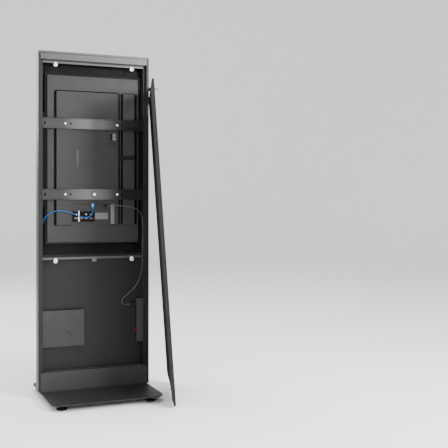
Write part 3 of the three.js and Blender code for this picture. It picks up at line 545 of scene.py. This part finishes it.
def smooth_route(points):
    """A centripetal Catmull-Rom line through the points, as the CAD's cords follow."""
    steps = 14
    points = [Vector(p) for p in points]
    padded = [2 * points[0] - points[1], *points, 2 * points[-1] - points[-2]]
    line = [points[0]]
    for p0, p1, p2, p3 in zip(padded, padded[1:], padded[2:], padded[3:]):
        t0 = 0.0
        t1 = t0 + (p1 - p0).length ** 0.5
        t2 = t1 + (p2 - p1).length ** 0.5
        t3 = t2 + (p3 - p2).length ** 0.5
        for step in range(1, steps + 1):
            t = t1 + (t2 - t1) * step / steps
            a1 = p0 * ((t1 - t) / (t1 - t0)) + p1 * ((t - t0) / (t1 - t0))
            a2 = p1 * ((t2 - t) / (t2 - t1)) + p2 * ((t - t1) / (t2 - t1))
            a3 = p2 * ((t3 - t) / (t3 - t2)) + p3 * ((t - t2) / (t3 - t2))
            b1 = a1 * ((t2 - t) / (t2 - t0)) + a2 * ((t - t0) / (t2 - t0))
            b2 = a2 * ((t3 - t) / (t3 - t1)) + a3 * ((t - t1) / (t3 - t1))
            line.append(b1 * ((t2 - t) / (t2 - t1)) + b2 * ((t - t1) / (t2 - t1)))
    return line


# ---------------------------------------------------------------- cords
PATCH_DIAMETER, LEAD_DIAMETER, MAINS_DIAMETER = 5.5, 3.6, 7
PATCH_ROUTE = [
    (7, 6.5, 1023.4), (7.3, 8, 1012), (9, 12.5, 1001), (13, 17, 989), (23, 19.5, 977), (40, 20, 970),
    (62, 19.5, 969), (88, 19, 976), (118, 18.5, 989), (155, 18, 1001), (190, 17, 1007), (222, 14.5, 1004),
    (250, 10.5, 994), (271, 5, 977), (284, 0, 955), (291, -4, 930), (296, -6.5, 900), (297, -7, 865),
    (297, -7, 830), (297, -7, 800.3),
]
LEAD_ROUTE = [
    (-80.3, 6.5, 1034), (-84, 8, 1034.2), (-89, 11.5, 1034.5), (-95, 14.5, 1035), (-104, 16, 1035.5),
    (-125, 16.2, 1036), (-150, 16, 1035.5), (-178, 15.5, 1033), (-206, 14.8, 1029), (-230, 13, 1024),
    (-247, 10, 1018), (-262, 5, 1009), (-277, -1, 994), (-288.5, -6.5, 975),
    (-295.5, -9.5, 950), (-297, -10, 915), (-297, -10, 860), (-297, -10, 800), (-297, -10, 750),
    (-296, -9, 715), (-292, -6, 680), (-284, -2, 640), (-270, 2, 600), (-248, 5, 566), (-222, 6, 539),
    (-195, 5, 516), (-176, 3, 499), (-167.5, 0, 482), (-172, -4, 467), (-186, -7.5, 460), (-203, -9.5, 459),
    (-221.4, -10, 459),
]
MAINS_ROUTE = [
    (-279, -10, 239.7), (-279, -10, 222), (-278, -9.5, 200), (-276, -8.5, 175), (-275, -8, 150),
    (-275, -8, 130), (-275, -8, 113),
]
# where each cord stops moving with the display and where it stands still with the cabinet
LEAD_CLIPS = (-297, -10, 760), (-297, -10, 880)
PATCH_CLIP = (297, -7, 848)


def make_cord(name, route, diameter, material, body=None):
    """The cord's jacket along its route, and its line in the row frame."""
    line = smooth_route(route)
    bm = bmesh.new()
    swept(bm, line, diameter / 2)
    piece = to_object(bm, name, body, material)
    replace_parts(piece, name)
    piece.name = f"{name}_jacket"
    return piece, [at(*p) for p in line]


def make_cords():
    patch, patch_line = make_cord("patch_cable", PATCH_ROUTE, PATCH_DIAMETER, "blue")
    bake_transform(patch)
    patch_plug()
    coupler_plug()
    lead, lead_line = make_cord("display_lead", LEAD_ROUTE, LEAD_DIAMETER, "lead")
    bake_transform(lead)
    display_lead_plug()
    strip_plug()
    mains, mains_line = make_cord(
        "mains_lead", MAINS_ROUTE, MAINS_DIAMETER, "mains", "cabinet",
    )


def patch_plug():
    """The patch cable's plug: a ribbed boot under a clear-edged body with its latch."""
    x, y, z = PATCH_ROUTE[0]
    bm = bmesh.new()
    soft_box(bm, (x - 5.9, y - 3.5, z + 8.2), (x + 5.9, y + 4.3, 1047.5), 0.8)
    for rib in range(4):
        half = 3.4 + 0.25 * rib
        low = z + 0.7 + 1.8 * rib
        soft_box(bm, (x - half, y - half + 0.4, low), (x + half, y + half - 0.4, low + 1.4), 0.5, 2)
    soft_box(bm, (x - 2.6, y - 2.6, z + 0.8), (x + 2.6, y + 2.6, z + 8.1), 0.5, 2)
    soft_box(bm, (x - 2.4, y + 4.4, z + 10), (x + 2.4, y + 5.2, z + 21), 0.3, 2)
    piece = to_object(bm, "patch_plug_body", "display", "blue_boot")
    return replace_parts(piece, "patch_plug")


def coupler_plug():
    """The patch cable's other plug, a boot that goes down into the coupler."""
    x, y, z = PATCH_ROUTE[-1]
    profile = raised([(2.9, 0.2), (3.9, 0.2), (4.1, 1.2), (3.9, 3), (3.3, 14), (2.9, 14.6)], z)
    return turned_piece(
        "patch_boot", "cabinet", "blue_boot", "blue_plastic", profile, (x, y, 0),
        axis="z", sides=24, closed=True,
    )


def display_lead_plug():
    """The small plug that feeds the display, lying flat on its back."""
    x, y, z = LEAD_ROUTE[0]
    bm = bmesh.new()
    soft_box(bm, (x + 6, y - 3.5, z - 7.8), (x + 26, y + 3.5, z + 7.8), 1.4)
    for ring in range(3):
        start = x + 1.0 + 1.7 * ring
        half = 2.7 + 0.5 * ring
        soft_box(bm, (start, y - half, z - half), (start + 1.3, y + half, z + half), 0.5, 2)
    piece = to_object(bm, "display_lead_plug_body", "display", "black")
    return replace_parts(piece, "display_lead_plug")


def strip_plug():
    """The moulded plug in the strip's top socket, with a ribbed strain relief for the display's lead."""
    z = SOCKET_Z[0]
    start = STRIP_FACE_X + GAP
    tip = start + 31
    bm = bmesh.new()
    soft_box(bm, (start, STRIP_Y - 9, z - 11), (start + 14, STRIP_Y + 9, z + 11), 2.2, 4)
    profile = [(0, start + 14.1), (5.6, start + 14.1)]
    for ring in range(5):
        place = start + 15 + 3 * ring
        radius = 5.4 - 0.5 * ring
        neck = radius - 0.9
        profile += [(radius, place), (radius, place + 1.8), (neck, place + 2.0), (neck, place + 2.8)]
    profile += [(2.5, tip - 0.6), (0, tip - 0.6)]
    turned(bm, profile, (0, STRIP_Y, z), axis="x", sides=28)
    piece = to_object(bm, "strip_plug_body", "cabinet", "black")
    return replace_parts(piece, "strip_plug")


def cord_clip(name, x, y, z, radius):
    """An adhesive clip on the channel's wall that a cord runs through."""
    side = 1 if x > 0 else -1
    wall = side * INNER_WALL_X
    pad = wall - side * 1.6
    bm = bmesh.new()
    soft_box(bm, (min(wall, pad), y - 9, z - 6), (max(wall, pad), y + 9, z + 6), 0.5, 2)
    inner, outer = radius + 0.5, radius + 1.9
    profile = [(inner, z - 4), (outer - 0.4, z - 4), (outer, z - 3.6)]
    profile += [(outer, z + 3.6), (outer - 0.4, z + 4), (inner, z + 4)]
    turned(bm, profile, (x, y, 0), axis="z", sides=28, closed=True)
    to_object(bm, name, "cabinet", "black")


def make_clips():
    for index, place in enumerate(LEAD_CLIPS):
        cord_clip(f"lead_clip_{index + 1}", *place, LEAD_DIAMETER / 2)
    cord_clip("patch_clip", *PATCH_CLIP, PATCH_DIAMETER / 2)


make_cords()
make_clips()

# ---------------------------------------------------------------- CAD nodes that stay
# node, material, edge radius, segments of the edge
DRESSED = [
    ("side_profile_left", "profile", 0.4),
    ("side_profile_right", "profile", 0.4),
    ("base_bracket_left", "zinc", 0.5),
    ("base_bracket_right", "zinc", 0.5),
    ("slotted_upright_left", "upright", 0.3),
    ("slotted_upright_right", "upright", 0.3),
    ("base_plate", "powder", 0.5),
    ("header_profile", "header", 0.3),
    ("top_cap", "header", 0.4),
    ("bottom_beam", "beam", 0.5),
    ("mid_bar", "bar", 0.3),
    ("mid_bar_catch", "dull_zinc", 0.3),
    ("front_glass", "glass"),
    ("glass_gasket", "rubber"),
    ("touch_film", "film"),
    ("mini_pc_plate", "plate", 0.4),
    ("power_strip", "strip", 0.3),
    ("strip_face", "black", 0.2),
    ("switch_rocker", "red", 0.6, 3),
    ("mains_gland", "black", 0.3),
    ("network_coupler", "black", 0.5),
    ("display_bezel", "bezel", 0.4),
    ("lcd_panel", "screen", 0.2),
    ("backlight_chassis", "chassis", 0.3),
    ("display_back_cover", "display_shell", 0.6, 3),
    ("electronics_cover", "display_shell", 0.5, 3),
    ("display_side_cover", "display_shell", 0.5, 3),
    ("cable_strap", "black", 0.3),
    ("input_panel", "display_shell", 0.3),
    ("input_sockets", "bezel", 0.3),
    ("service_block", "display_shell", 0.3),
    ("main_board", "board", 0.2),
    ("power_board", "board", 0.2),
    ("upper_rail", "rail", 0.4),
    ("lower_rail", "rail", 0.4),
    ("cover_panel", "cover_coat", 0.4),
    ("lock_knob", "nickel", 0.6, 3),
    ("lock_cam", "black_steel", 0.4),
]


def dress(node, material, bevel=0.0, segments=2):
    """Gives a CAD node its finish and, where asked, small rounded edges by modifiers."""
    piece = nodes[node]
    piece.data.materials.clear()
    piece.data.materials.append(MATERIALS[material])
    weld = piece.modifiers.new("weld", "WELD")
    weld.merge_threshold = 1e-5
    flatten = piece.modifiers.new("flatten", "DECIMATE")
    flatten.decimate_type = "DISSOLVE"
    flatten.angle_limit = math.radians(0.5)
    if bevel:
        rounding = piece.modifiers.new("rounding", "BEVEL")
        rounding.width = bevel * MM
        rounding.segments = segments
        rounding.limit_method = "ANGLE"
        rounding.angle_limit = SHARP_ANGLE
        rounding.use_clamp_overlap = True
    piece.data.shade_smooth()
    piece.data.set_sharp_from_angle(angle=SHARP_ANGLE)
    evenly = piece.modifiers.new("evenly", "WEIGHTED_NORMAL")
    evenly.keep_sharp = True
    evenly.weight = 100


for row in DRESSED:
    dress(*row)


# ---------------------------------------------------------------- glass print and thin sheets
def rounded_outline(x0, x1, z0, z1, corner=3, arc=4):
    """An upright rectangle with rounded corners, as (x, z) points."""
    points = []
    for cx, cz, start in ((x1 - corner, z0 + corner, -90), (x1 - corner, z1 - corner, 0),
                          (x0 + corner, z1 - corner, 90), (x0 + corner, z0 + corner, 180)):
        for step in range(arc + 1):
            angle = math.radians(start + 90 * step / arc)
            points.append((cx + corner * math.cos(angle), cz + corner * math.sin(angle)))
    return points


def make_glass_print():
    """The opaque print behind the glass, with a rounded window over the screen, made blacker than the bay
    foil as painted shade.
    """
    front, back = -31.95, -31.78
    window_x = SCREEN_W / 2 + 2
    window_low, window_high = SCREEN_Z - SCREEN_H / 2 - 2, SCREEN_Z + SCREEN_H / 2 + 2
    outer = rounded_outline(-311, 311, 4, 1884)
    inner = rounded_outline(-window_x, window_x, window_low, window_high)
    bm = bmesh.new()
    rings = [
        [bm.verts.new((x, y, z)) for x, z in points]
        for points, y in ((inner, front), (outer, front), (outer, back), (inner, back))
    ]
    bridge(bm, rings, closed=True)
    to_object(bm, "glass_print", "cabinet", "print")


def make_sheets():
    """The grey foil behind the lower bay's glass, a lit copy of the darker glass print, and a thin sheet that
    backs the player plate's slots.
    """
    box_piece(
        "bay_foil", "cabinet", "foil", "black_plastic",
        ((-295, -31.6, 17), (295, -31.0, 757), 0.15, 1),
    )
    box_piece(
        "player_plate_backing", "cabinet", "plate", "dark_anodised",
        ((110, -2.7, 286), (242, -1.8, 418), 0.3, 2),
    )


def make_header_seams():
    """Thin dark seams under the top cap and over the header's lip, and where the corners' end blocks meet."""
    start = 36.05
    bm = bmesh.new()
    soft_box(bm, (-305, start, 1886.4), (305, 36.35, 1888.6), 0.1, 2)
    soft_box(bm, (-305, start, 1850.6), (305, 36.4, 1853.4), 0.15, 2)
    for x in (-290, 290):
        soft_box(bm, (x - 0.9, start, 1854), (x + 0.9, 36.3, 1890), 0.1, 2)
    to_object(bm, "header_seams", "cabinet", "foam_and_shade")


make_glass_print()
make_sheets()
make_header_seams()

# ---------------------------------------------------------------- cabinet fittings
MAGNET_X = {"left": -221, "right": 221}
MAGNET_YZ = {"upper": (14.3, 1827), "lower": (13.3, 725)}
MAGNET_CUP = [
    (0, 0), (10.6, 0), (11, 0.5), (11, 4.9), (10.6, 5.6), (9.8, 5.9), (7.2, 5.9), (6.4, 5.4), (6.1, 4.6),
    (0, 4.6),
]
MAGNET_POLE = [
    (0, 4.7), (5.9, 4.7), (5.9, 5.3), (5.6, 5.6), (3.4, 5.6), (2.6, 5.2), (2.4, 4.95), (0, 4.95),
]
FOOT_PROFILE = [
    (0, 0), (24.5, 0), (25.5, 0.5), (27.2, 0.7), (28, 1.8), (28, 6.2), (27.4, 7.2), (25, 8.3), (18, 9.9),
    (12.2, 11.2), (11.4, 12.2), (11, 13), (11, 18.8), (10.2, 19.8), (5.2, 20), (5.2, 20.1), (5, 20.4),
]
FOOT_THREADS, THREAD_PITCH = 8, 1.3
FOOT_NUT = {"low": 24.5, "high": 30.5, "flat": 8.5, "bore": 5.15}
BEAM_SCREW_X, BEAM_SCREW_Z, BEAM_FACE = {"left": -245, "right": 245}, 50, 32.2
CAP_SCREWS, CAP_FACE = [(-290, -14), (290, -14), (-290, 20), (290, 20)], 1900.05


def make_magnets():
    """A white cup with a zinc pole face, on a white tab."""
    for level, (y, z) in MAGNET_YZ.items():
        for side, x in MAGNET_X.items():
            name = f"{level}_magnet_{side}"
            face = y + 2.1
            cup = turned_piece(
                f"{name}_cup", "cabinet", "white", "white_plastic", raised(MAGNET_CUP, face), (x, 0, z),
                sides=56,
            )
            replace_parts(cup, name)
            box_piece(
                f"{name}_tab", "cabinet", "white", "white_plastic",
                ((x - 7, y, z - 7), (x + 7, y + 2, z + 15), 0.6, 2),
            )
            turned_piece(
                f"{name}_pole", "cabinet", "zinc", "zinc", raised(MAGNET_POLE, face), (x, 0, z), sides=40,
            )


def make_feet():
    """Round rubber pads on threaded studs, each with its lock nut."""
    profile = list(FOOT_PROFILE)
    for thread in range(FOOT_THREADS):
        rise = THREAD_PITCH * thread
        profile += [(5, 20.8 + rise), (4.6, 21.45 + rise)]
    profile += [(5, 31.2), (4.7, 31.6), (0, 31.6)]
    for end in ("front", "rear"):
        for side in ("left", "right"):
            name = f"foot_{end}_{side}"
            low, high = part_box(name)
            centre = (Vector(((low.x + high.x) / 2, (low.y + high.y) / 2, low.z)) - ORIGIN) / MM
            pad = turned_piece(
                f"{name}_pad", name, "rubber", "black_rubber", profile, centre, axis="z", sides=64,
            )
            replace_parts(pad, name)
            bm = bmesh.new()
            hex_nut(bm, centre, **FOOT_NUT)
            to_object(bm, f"{name}_lock_nut", name, "zinc")


def make_screws():
    """The bottom beam's two screws and the top cap's four."""
    for side, x in BEAM_SCREW_X.items():
        bm = bmesh.new()
        socket_head(bm, (x, 0, BEAM_SCREW_Z), BEAM_FACE, 5, 2.6, 2.2, shank=2.4)
        to_object(bm, f"beam_screw_{side}", "cabinet", "black_steel")
    for index, (x, y) in enumerate(CAP_SCREWS):
        bm = bmesh.new()
        socket_head(bm, (x, y, 0), CAP_FACE, 4.5, 1.8, 1.9, shank=1.5, axis="z")
        to_object(bm, f"cap_screw_{index + 1}", "cabinet", "black_steel")


make_magnets()
make_feet()
make_screws()

# ---------------------------------------------------------------- display fittings
# the washers' profiles start at RAIL_SEAT, the hole shade discs' is in the cabinet's own y
DISPLAY_WASHER = [(3.3, 0), (9.2, 0), (9.5, 0.3), (9.2, 0.9), (3.3, 0.9)]
BOLT_WASHER = [(2.8, 0), (6.4, 0), (6.6, 0.3), (6.4, 0.8), (2.8, 0.8)]
HOLE_SHADE_DISC = [(0, 11.2), (3.7, 11.2), (3.7, 13.6), (5.2, 13.6), (5.2, 14.2), (4.6, 14.5), (0, 14.5)]
# the grip's profile starts at KNOB_SEAT, the collar's at RAIL_BACK
KNOB_SEAT = RAIL_BACK + GAP
KNOB_GRIP = [
    (3.4, 0), (8.6, 0), (9.3, 0.8), (9.4, 7.0), (8.7, 7.9), (6.2, 8.0), (5.7, 7.6), (5.5, 6.2), (3.4, 6.2),
]
KNOB_COLLAR = [(9.9, 0.1), (14.2, 0.1), (14.2, 2.4), (13.4, 3.2), (10.7, 3.2), (9.9, 2.4)]
# y that the heads stand on, head radius, head height, socket and (x, z) places: on the metal back cover,
# on the electronics housing, and on the side cover
COVER_SCREWS = [
    (0.05, 2.9, 1.3, 1.2, [(x, z) for z in (845, 1010, 1300, 1590, 1755) for x in (-256, 256)]),
    (10.75, 2.9, 1.3, 1.2, [(-136, 1672), (206, 1672), (206, 936), (206, 1300), (-136, 1300), (35, 1672)]),
    (8.55, 2.7, 1.2, 1.1, [(-206, z) for z in (940, 1210, 1420, 1668)]),
]


def make_display_screws():
    """White button heads on dark washers whose flat black is also painted shade round the heads, and black
    discs in the unused holes beside them as painted shade for the holes.
    """
    for level, z in RAIL_HEIGHTS.items():
        for side, x in SCREW_X.items():
            bm = bmesh.new()
            socket_head(bm, (x, 0, z), RAIL_SEAT + 1.0, 6.4, 4.0, 2.6)
            screw = to_object(bm, f"fixing_screw_{level}_{side}", "display", "white")
            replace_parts(screw, f"display_screw_{level}_{side}")
    bm = bmesh.new()
    for z in RAIL_HEIGHTS.values():
        for x in SCREW_X.values():
            turned(bm, raised(DISPLAY_WASHER, RAIL_SEAT), (x, 0, z), sides=40, closed=True)
            turned(bm, HOLE_SHADE_DISC, (x - UNUSED_HOLE, 0, z), sides=24)
    to_object(bm, "fixing_washers", "display", "foam_and_shade")


def make_rail_bolts():
    """Black bolts with their washers that hold the rails in the uprights' slots."""
    for level, z in RAIL_HEIGHTS.items():
        for side, x in (("left", -UPRIGHT_SLOT_X), ("right", UPRIGHT_SLOT_X)):
            bm = bmesh.new()
            turned(bm, raised(BOLT_WASHER, RAIL_SEAT), (x, 0, z), sides=40, closed=True)
            socket_head(bm, (x, 0, z), RAIL_SEAT + 0.9, 5.0, 3.2, 2.2, shank=2.5)
            to_object(bm, f"clamp_bolt_{level}_{side}", "display", "black_steel")


def make_knob():
    """The white thumb screw, fluted round its rim, in its dark collar, whose flat black is also painted shade
    for the shadow ring round the knob.
    """
    centre = (0, 0, RAIL_HEIGHTS["lower"])
    knob = turned_piece(
        "rail_knob_grip", "clamp_knob", "white", "white_plastic", raised(KNOB_GRIP, KNOB_SEAT), centre,
        sides=96, closed=True, ripple=lambda angle: 1 + 0.045 * math.cos(12 * angle),
    )
    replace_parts(knob, "rail_knob")
    turned_piece(
        "rail_knob_collar", "display", "foam_and_shade", "black_rubber", raised(KNOB_COLLAR, RAIL_BACK), centre,
        sides=64, closed=True,
    )
    bm = bmesh.new()
    socket_head(bm, centre, KNOB_SEAT + 6.3, 4.2, 1.9, 1.9, shank=3)
    to_object(bm, "rail_knob_screw", "clamp_knob", "white")


def make_cover_screws():
    """The small black screws round the display's covers, in one piece."""
    bm = bmesh.new()
    for seat, radius, height, flat, places in COVER_SCREWS:
        for x, z in places:
            socket_head(bm, (x, 0, z), seat, radius, height, flat, shank=1.2)
    to_object(bm, "display_cover_screws", "display", "black_steel")


def make_ports():
    """Tongues, contacts and pins in the sockets, a white plug among them, and pale plates beside them."""
    seat = PORT_FACE + 3.0
    box_piece(
        "socket_tongues", "display", "orange", "blue_plastic",
        *[((x + 7, seat, 957), (x + 14, PORT_FACE + 4.6, 960), 0.3, 2) for x in PORT_X],
    )
    box_piece(
        "port_contacts", "display", "zinc", "zinc",
        *[((x + 5.5, seat, 983), (x + 15.5, PORT_FACE + 5.2, 989), 0.4, 2) for x in PORT_X if x != PORT_X[2]],
    )
    box_piece(
        "port_pins", "display", "white", "white_plastic",
        *[((x + 1 + step, seat, 963), (x + 3.5 + step, PORT_FACE + 5.0, 971), 0.3, 2)
          for x in PORT_X for step in (0, 7, 14)],
    )
    box_piece(
        "white_plug", "display", "white", "white_plastic",
        ((84.6, PORT_FACE + 0.5, 946), (90.4, PORT_FACE + 10.5, 1006), 1.1, 3),
        ((85.4, PORT_FACE + 10.6, 952), (89.6, PORT_FACE + 12, 1000), 0.5, 2),
    )
    box_piece(
        "label_plates", "display", "label", "display_plastic",
        ((-83.5, 4.4, 957.5), (-7.5, 5.0, 994.5), 0.25, 2),
        ((-119, 10.9, 930), (-98, 11.5, 1044), 0.25, 2),
    )


def make_display_details():
    """The grip recess's insert, the service block's keys and plugs, and the strap's buckle."""
    box_piece(
        "grip_insert", "display", "display_light", "display_plastic",
        ((86, 9.7, 1253), (103, 10.9, 1353), 0.5, 3),
    )
    box_piece(
        "service_keys", "display", "label", "display_plastic",
        *[((-127.4, 13.4, z - 9), (-107, 16.6, z + 9), 1.2, 3) for z in SERVICE_KEY_Z],
    )
    box_piece(
        "service_plugs", "display", "black", "black_plastic",
        *[((-105.5, 13.4, z - 9), (-89.6, 17.4, z + 9), 1, 3) for z in SERVICE_KEY_Z],
    )
    box_piece(
        "strap_buckle", "display", "black", "black_plastic",
        ((-214, 9.2, 1302), (-200, 13.6, 1323), 1, 3),
    )


def make_display_gap_shade():
    """Black strips between and beside the display's covers, painted shade that stands in for the shadowed
    gaps there.
    """
    start = 0.3
    upright = [(215.4, 225, 5.5), (-171.6, -161.5, 3.0), (-153, -145.4, 5.5), (-256, -241.4, 3.0)]
    box_piece(
        "display_gap_shade", "display", "foam_and_shade", "black_rubber",
        *[((left, start, 926), (right, back, 1683), 0.6, 2) for left, right, back in upright],
        ((-145, start, 1683.4), (215, 5.5, 1688), 0.6, 2),
        ((-241, start, 1683.4), (-172, 5.5, 1686.5), 0.6, 2),
    )


make_display_screws()
make_rail_bolts()
make_knob()
make_cover_screws()
make_ports()
make_display_details()
make_display_gap_shade()


# ---------------------------------------------------------------- power strip
def make_strip_details():
    """Inserts and slots of the two free sockets, and the strip's end caps."""
    face, y = STRIP_FACE_X, STRIP_Y
    box_piece(
        "socket_inserts", "cabinet", "display_shell", "black_plastic",
        *[((face - 1.4, y - 7.7, z - 12.7), (face - 0.7, y + 7.7, z + 12.7), 0.3, 2) for z in SOCKET_Z[1:]],
    )
    slots = [(y + dy, z + dz) for z in SOCKET_Z[1:] for dy, dz in ((-4, 4), (4, 4), (0, -5))]
    box_piece(
        "socket_slots", "cabinet", "black", "black_plastic",
        *[((face - 0.65, sy - 1, sz - 2.6), (face - 0.3, sy + 1, sz + 2.6), 0.15, 1) for sy, sz in slots],
    )
    box_piece(
        "strip_end_caps", "cabinet", "black", "black_plastic",
        *[((-302.4, -21, z), (-257, 1, z + 2.3), 0.8, 3) for z in (237.4, 493.3)],
    )


make_strip_details()

# ---------------------------------------------------------------- leaning cover
COVER_INSIDE = -COVER_SHEET_T - GAP
LOCK_BORE = 4.3
LOCK_BARREL = [
    (LOCK_BORE, -27.8), (8.6, -27.8), (9, -27.4), (9, -6), (9.6, -1.8), (11, -1.8), (11, 0.3), (14.8, 0.3),
    (15.2, 0.8), (14.9, 2.4), (13.2, 3.9), (12.4, 4.2), (LOCK_BORE, 4.2),
]
LOCK_NUT = [
    (9.2, -27.9), (10.6, -27.9), (11, -27.5), (11, -8), (15.2, -7.6), (15.6, -7), (15.6, -2.2), (15, -1.8),
    (9.8, -1.8), (9.2, -5.8),
]
HANDLE_FLANGE = [(6.1, 0), (9.2, 0), (9.2, -0.8), (7.2, -3), (6.1, -3)]


def make_handle():
    """A bow grip inside the cover, with a flange at each end and its two screws outside."""
    half, deep, corner = HANDLE_SPAN / 2, HANDLE_R - HANDLE_REACH, 9
    route = [(HANDLE_X - half, COVER_INSIDE - 0.3, HANDLE_Z)]
    for side, start in ((-1, 0), (1, 90)):
        for step in range(7):
            angle = math.radians(start + 15 * step)
            across = side * (half - corner) + corner * (-math.cos(angle))
            route.append((HANDLE_X + across, deep + corner - corner * math.sin(angle), HANDLE_Z))
    route.append((HANDLE_X + half, COVER_INSIDE - 0.3, HANDLE_Z))
    bm = bmesh.new()
    swept(bm, route, HANDLE_R, sides=28)
    grip = to_object(bm, "cover_handle_grip", "rear_cover", "black", COVER)
    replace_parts(grip, "cover_handle")
    bm = bmesh.new()
    for x in (HANDLE_X - half, HANDLE_X + half):
        turned(bm, raised(HANDLE_FLANGE, COVER_INSIDE), (x, 0, HANDLE_Z), sides=40, closed=True)
        socket_head(bm, (x, 0, HANDLE_Z), 0.05, 4.6, 2.4, 2.0, shank=1.2)
    to_object(bm, "cover_handle_screws", "rear_cover", "black", COVER)


def make_lock():
    """A nickel cylinder through the sheet, clamped from inside by a black nut."""
    centre = (LOCK_X, 0, LOCK_Z)
    barrel = turned_piece(
        "lock_barrel_body", "rear_cover", "nickel", "zinc", LOCK_BARREL, centre, COVER,
        sides=64, closed=True,
    )
    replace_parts(barrel, "lock_barrel")
    turned_piece(
        "lock_clamp_nut", "rear_cover", "black", "black_steel", LOCK_NUT, centre, COVER,
        sides=64, closed=True,
    )


make_handle()
make_lock()

# ---------------------------------------------------------------- stage
# name, place, point it faces, size and power in watts
LIGHTS = [
    ("overhead", (0, 0.5, 5.2), (0, 0, 0.8), (4.5, 4.5), 260),
    ("key", (-2.4, 3.6, 2.6), (0, 0, 1.1), (1.8, 2.0), 360),
    ("rear_fill", (2.6, 4.4, 1.7), (-0.2, 0, 0.9), (1.8, 1.8), 110),
    ("front_fill", (2.6, -5.0, 3.2), (0, 0, 1.0), (3.0, 3.0), 200),
]
WORLD_STRENGTH = 1.25


def make_stage():
    """A pale floor that sweeps up into a round backdrop."""
    radius, sweep, height, steps, sides = 14.0, 4.0, 9.0, 10, 96
    profile = [(0.0, 0.0), (radius - sweep, 0.0)]
    for step in range(1, steps + 1):
        angle = math.pi / 2 * step / steps
        profile.append((radius - sweep + sweep * math.sin(angle), sweep - sweep * math.cos(angle)))
    profile.append((radius, height))
    bm = bmesh.new()
    rings = []
    for r, z in profile:
        turn = angles(sides)[:sides if r > 0 else 1]
        rings.append([bm.verts.new((r * math.cos(angle), r * math.sin(angle), z)) for angle in turn])
    for a, b in zip(rings, rings[1:]):
        for i in range(sides):
            j = (i + 1) % sides
            face = [a[i % len(a)], b[i], b[j], a[j % len(a)]]
            bm.faces.new(list(dict.fromkeys(face)))
    mesh = bpy.data.meshes.new("floor")
    bm.to_mesh(mesh)
    bm.free()
    mesh.shade_smooth()
    mesh.materials.append(surface("floor_paper", (0.86, 0.865, 0.87), 0.75, mottle=0.004, smear=0.03))
    floor = bpy.data.objects.new("floor", mesh)
    bpy.context.scene.collection.objects.link(floor)


def make_lights():
    world = bpy.data.worlds.new("studio")
    bpy.context.scene.world = world
    world.use_nodes = True
    background = world.node_tree.nodes["Background"]
    background.inputs["Color"].default_value = (1, 1, 1, 1)
    background.inputs["Strength"].default_value = WORLD_STRENGTH
    for name, place, target, size, power in LIGHTS:
        data = bpy.data.lights.new(name, "AREA")
        data.shape = "RECTANGLE"
        data.size, data.size_y = size
        data.energy = power
        stand(bpy.data.objects.new(name, data), place, Vector(target) - Vector(place))


make_stage()
make_lights()
